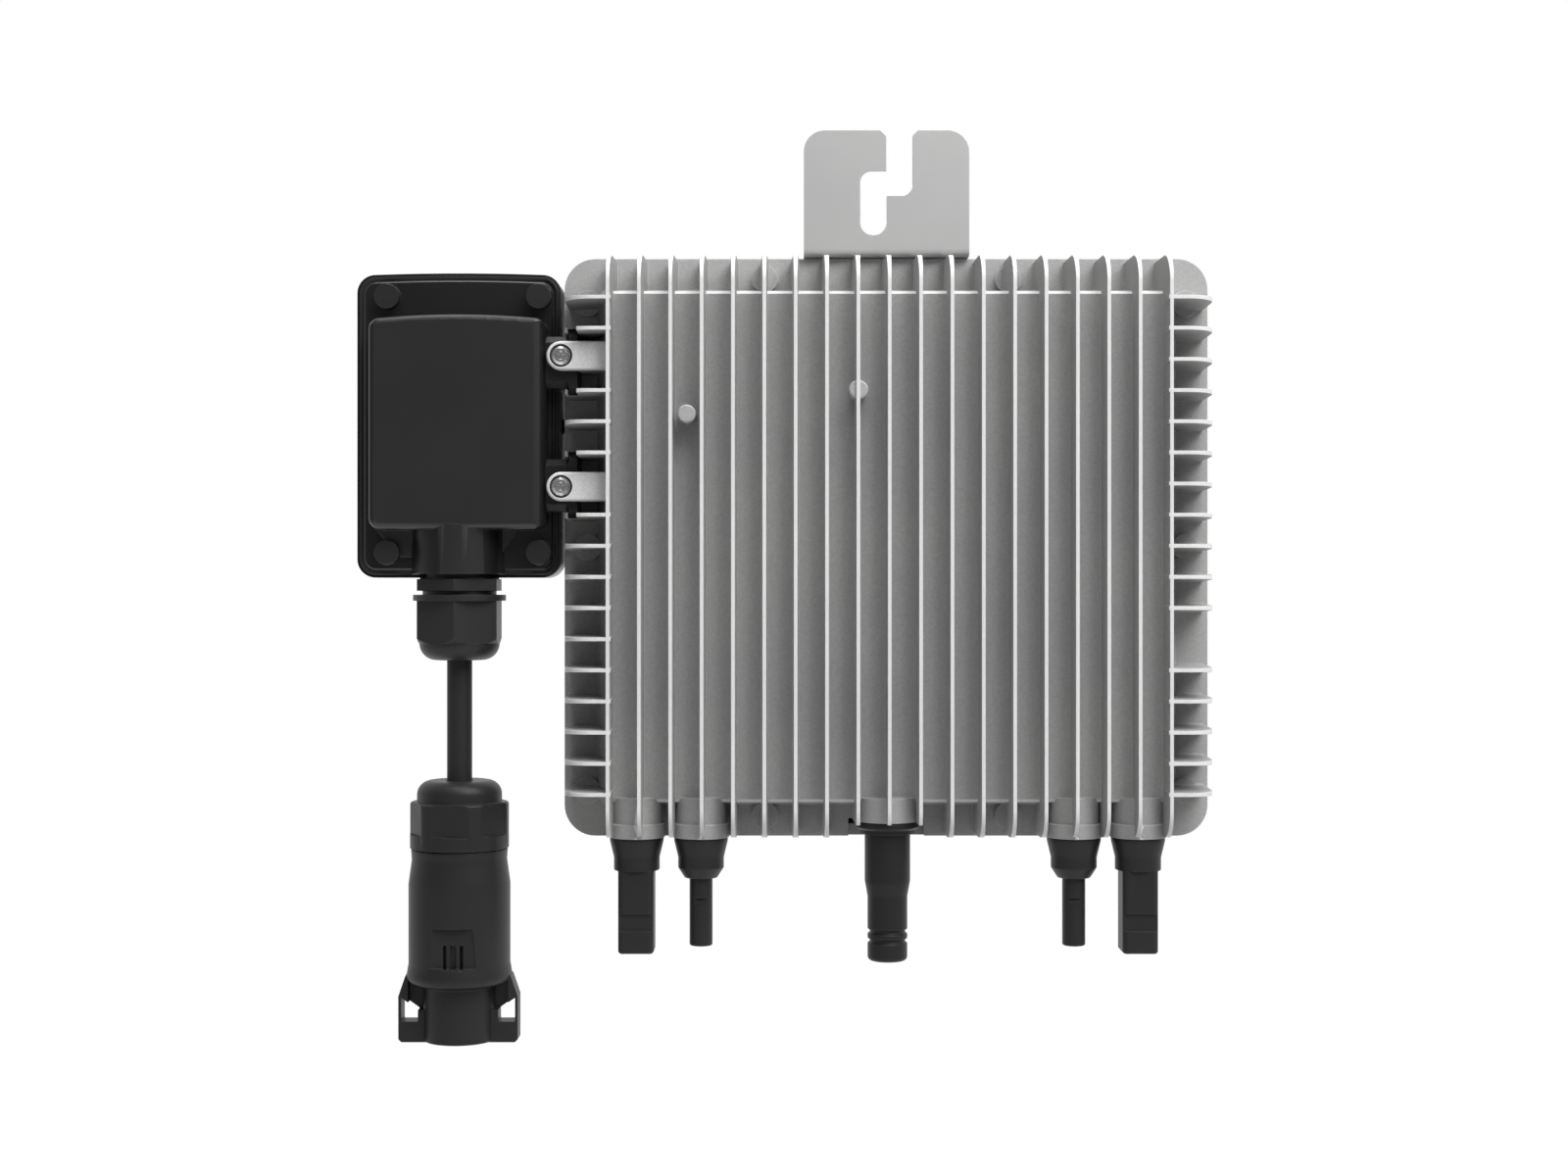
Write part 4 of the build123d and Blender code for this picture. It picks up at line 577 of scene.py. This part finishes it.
# low outermost band round the front of the relay box
boxBand = {
    "left": -0.18283, "right": -0.11067, "low": -0.12615, "high": -0.01841, "wide": 0.0025,
    "front": -0.0019, "frontReach": 0.0002, "facing": -0.9,
}


def isBand(face):
    centre = face.center
    inside = min(centre.x - boxBand["left"], boxBand["right"] - centre.x,
                 centre.z - boxBand["low"], boxBand["high"] - centre.z)
    level = abs(centre.y - boxBand["front"]) < boxBand["frontReach"]
    return face.normal.y < boxBand["facing"] and level and inside < boxBand["wide"]


extraFinish = {
    "heatsink_housing": ((takesTipHighlight, paintedHighlightTip), (takesLugLight, lugLitFront), (takesLugEdgeHighlight, paintedHighlightTip),
                         (takesSinkShade, sinkShade)),
    "relay_box_shell": ((isBand, boxRim), (isDullShade, dullShadedBlack)),
}


# plates whose long thin triangles are joined into whole faces before their edges are rounded
plates = ("rear_cover", "relay_box_lid", "mounting_bracket")


def joinFlatFaces(piece):
    onlySelect(piece)
    bpy.ops.object.mode_set(mode="EDIT")
    bpy.ops.mesh.select_all(action="SELECT")
    bpy.ops.mesh.dissolve_limited(angle_limit=math.radians(shaping["flat"]))
    bpy.ops.object.mode_set(mode="OBJECT")


# pieces with rounded edges: name, width of the rounding and the angle from which an edge gets it
softEdges = {
    "heatsink_housing": ("castHousing", 0.00014, 32),
    "rear_cover": ("rearCover", 0.0003, 32),
    "mounting_bracket": ("hookBracket", 0.00025, 32),
    "relay_box_shell": ("relayBox", 0.0002, 60),
    "relay_box_lid": ("relayLid", 0.0003, 32),
    "gland_body": ("glandBody", 0.0003, 32),
    "gland_nut": ("glandNut", 0.00015, 40),
    "coupler_nut": ("couplerNut", 0.0003, 32),
    "coupler_shell": ("couplerShell", 0.0003, 32),
    "dc_socket_left": ("wideConnectorLeft", 0.00025, 32),
    "dc_socket_right": ("wideConnectorRight", 0.00025, 32),
    "dc_plug_left": ("narrowConnectorLeft", 0.0002, 32),
    "dc_plug_right": ("narrowConnectorRight", 0.0002, 32),
    "antenna_base": ("antennaCollar", 0.0002, 32),
    "antenna_sleeve": ("antennaCover", 0.0002, 32),
}


def softened(nodeName):
    pieceName, width, angle = softEdges[nodeName]
    piece = mergedCopy(nodeName, pieceName)
    if nodeName in plates:
        joinFlatFaces(piece)
    for wanted, material in extraFinish.get(nodeName, ()):
        giveFinish(piece, wanted, material)
    roundEdges(piece, width, angle)
    standIn(piece, nodeName)
    print(pieceName, len(piece.data.polygons))
    return piece


softPieces = {nodeName: softened(nodeName) for nodeName in softEdges}


# cross recess of a pan-head screw: one tapered bar is modelled, and two of them cross in each head
recess = {"span": 0.60, "wide": 0.16, "deep": 0.0013, "taper": 0.55}
panHead = {"round": 0.00035, "roundFrom": 30, "steps": 3}

# what each set of screws is called, and which way its heads face along Y
screwSets = {
    "lug_screws": ("lugScrews", -1),
    "cover_screws": ("coverScrews", 1),
    "bracket_screws": ("bracketScrews", 1),
    "relay_box_screws": ("boxScrews", 1),
}


def recessBar(headWide):
    bpy.ops.object.select_all(action="DESELECT")
    bpy.ops.mesh.primitive_cube_add(size=1)
    bar = bpy.context.object
    bpy.ops.object.mode_set(mode="EDIT")
    size = (recess["span"] * headWide, 2 * recess["deep"], recess["wide"] * headWide)
    bpy.ops.transform.resize(value=size)
    bpy.ops.mesh.select_all(action="DESELECT")
    bpy.ops.object.mode_set(mode="OBJECT")
    for face in bar.data.polygons:
        face.select = face.normal.y > 0.5
    bpy.ops.object.mode_set(mode="EDIT")
    bpy.ops.transform.resize(value=(recess["taper"], 1.0, recess["taper"]))
    bpy.ops.object.mode_set(mode="OBJECT")
    return bar


def headSpots(piece, side):
    # the middle of each screw's head at its outermost Y, and how wide a head is
    onlySelect(piece)
    bpy.ops.object.mode_set(mode="EDIT")
    bpy.ops.mesh.select_all(action="SELECT")
    bpy.ops.mesh.separate(type="LOOSE")
    bpy.ops.object.mode_set(mode="OBJECT")
    spots = []
    widths = []
    for part in bpy.context.selected_objects:
        places = [vertex.co for vertex in part.data.vertices]
        low = [min(place[axis] for place in places) for axis in range(3)]
        high = [max(place[axis] for place in places) for axis in range(3)]
        spots.append(((low[0] + high[0]) / 2, high[1] if side > 0 else low[1], (low[2] + high[2]) / 2))
        widths.append(high[0] - low[0])
    bpy.context.view_layer.objects.active = piece
    bpy.ops.object.join()
    return spots, widths[0]


def makeScrews(nodeName):
    pieceName, side = screwSets[nodeName]
    piece = mergedCopy(nodeName, pieceName)
    spots, headWide = headSpots(piece, side)
    applyModifier(piece, "roundHead", "BEVEL", width=panHead["round"], segments=panHead["steps"],
                  limit_method="ANGLE", angle_limit=math.radians(panHead["roundFrom"]),
                  use_clamp_overlap=True)
    for turn in (0, 90):
        model = recessBar(headWide)
        bars = []
        for spot in spots:
            bar = bpy.data.objects.new("recessBar", model.data.copy())
            bpy.context.scene.collection.objects.link(bar)
            bar.rotation_euler = (0, math.radians(turn), 0 if side < 0 else math.pi)
            bar.location = spot
            bars.append(bar)
        bpy.data.objects.remove(model)
        onlySelect(bars[0])
        for bar in bars:
            bar.select_set(True)
        bpy.ops.object.join()
        cutter = bpy.context.object
        applyModifier(piece, "crossRecess", "BOOLEAN", object=cutter, operation="DIFFERENCE",
                      solver="EXACT")
        bpy.data.objects.remove(cutter)
    onlySelect(piece)
    bpy.ops.object.shade_smooth_by_angle(angle=math.radians(shaping["smooth"]))
    standIn(piece, nodeName)
    print(pieceName, len(piece.data.polygons))


for nodeName in screwSets:
    makeScrews(nodeName)

print("pieces shaped")


# floor, light and background

studio = {
    "floorZ": -1.25, "floorSize": 14.0, "floorWhite": 0.8, "floorRough": 0.9, "floorGlow": 0.8,
    "roomLight": 0.21, "rim": (-0.5, 0.2), "aim": (-0.02, 0.0, -0.13),
    "overhead": {"place": (0.1, -1.0, 1.35), "size": 1.5, "watts": 11.5},
    "upperRight": {"place": (0.9, -1.0, 1.2), "size": 1.3, "watts": 34.0},
    "above": {"place": (-0.02, -0.12, 1.5), "size": 1.0, "watts": 12.0},
}


def addSoftbox(name):
    box = studio[name]
    bpy.ops.object.light_add(type="AREA", location=box["place"])
    lamp = bpy.context.object
    lamp.name = name
    lamp.data.size = box["size"]
    lamp.data.energy = box["watts"]
    away = Vector(box["place"]) - Vector(studio["aim"])
    lamp.rotation_mode = "QUATERNION"
    lamp.rotation_quaternion = away.to_track_quat("Z", "Y")


def makeWhiteGround():
    # pale floor that keeps the shadow, and is plain white to the camera and in reflections
    material = bpy.data.materials.new("whiteGround")
    material.use_nodes = True
    tree = material.node_tree
    shader = tree.nodes["Principled BSDF"]
    feed(tree, shader.inputs["Base Color"], (studio["floorWhite"],) * 3)
    feed(tree, shader.inputs["Roughness"], studio["floorRough"])
    path = addNode(tree, "ShaderNodeLightPath", (-600, 300)).outputs
    direct = addMath(tree, "MAXIMUM", (-400, 300), path["Is Camera Ray"], path["Is Glossy Ray"])
    seen = addMath(tree, "MAXIMUM", (-200, 300), direct, path["Is Transmission Ray"])
    glow = addMath(tree, "MULTIPLY", (0, 300), seen, studio["floorGlow"])
    feed(tree, shader.inputs["Emission Color"], (1.0, 1.0, 1.0))
    tree.links.new(glow, shader.inputs["Emission Strength"])
    return material


def makeFloor():
    bpy.ops.object.select_all(action="DESELECT")
    bpy.ops.mesh.primitive_plane_add(size=studio["floorSize"], location=(0, 0, studio["floorZ"]))
    floor = bpy.context.object
    floor.name = "studioFloor"
    floor.data.materials.append(makeWhiteGround())


def makeRoom():
    # white to the camera on every side, and in reflections from beside and behind the object
    world = bpy.data.worlds.new("studioRoom")
    bpy.context.scene.world = world
    world.use_nodes = True
    tree = world.node_tree
    glow = tree.nodes["Background"]
    path = addNode(tree, "ShaderNodeLightPath", (-900, 200)).outputs
    direction = addNode(tree, "ShaderNodeTexCoord", (-900, -200))
    parts = addNode(tree, "ShaderNodeSeparateXYZ", (-700, -200))
    tree.links.new(direction.outputs["Generated"], parts.inputs[0])
    behind = addRange(tree, (-500, -200), parts.outputs["Y"], source=studio["rim"])
    mirrored = addMath(tree, "MULTIPLY", (-300, 0), path["Is Glossy Ray"], behind)
    seen = addMath(tree, "MAXIMUM", (-300, 200), path["Is Camera Ray"], path["Is Transmission Ray"])
    white = addMath(tree, "MAXIMUM", (-100, 100), seen, mirrored)
    level = addRange(tree, (100, 100), white, target=(studio["roomLight"], 1.0))
    feed(tree, glow.inputs["Color"], (1.0, 1.0, 1.0))
    tree.links.new(level, glow.inputs["Strength"])


makeFloor()
for name in ("overhead", "upperRight", "above"):
    addSoftbox(name)
makeRoom()
bpy.context.scene.view_settings.view_transform = "Standard"
print("studio set")
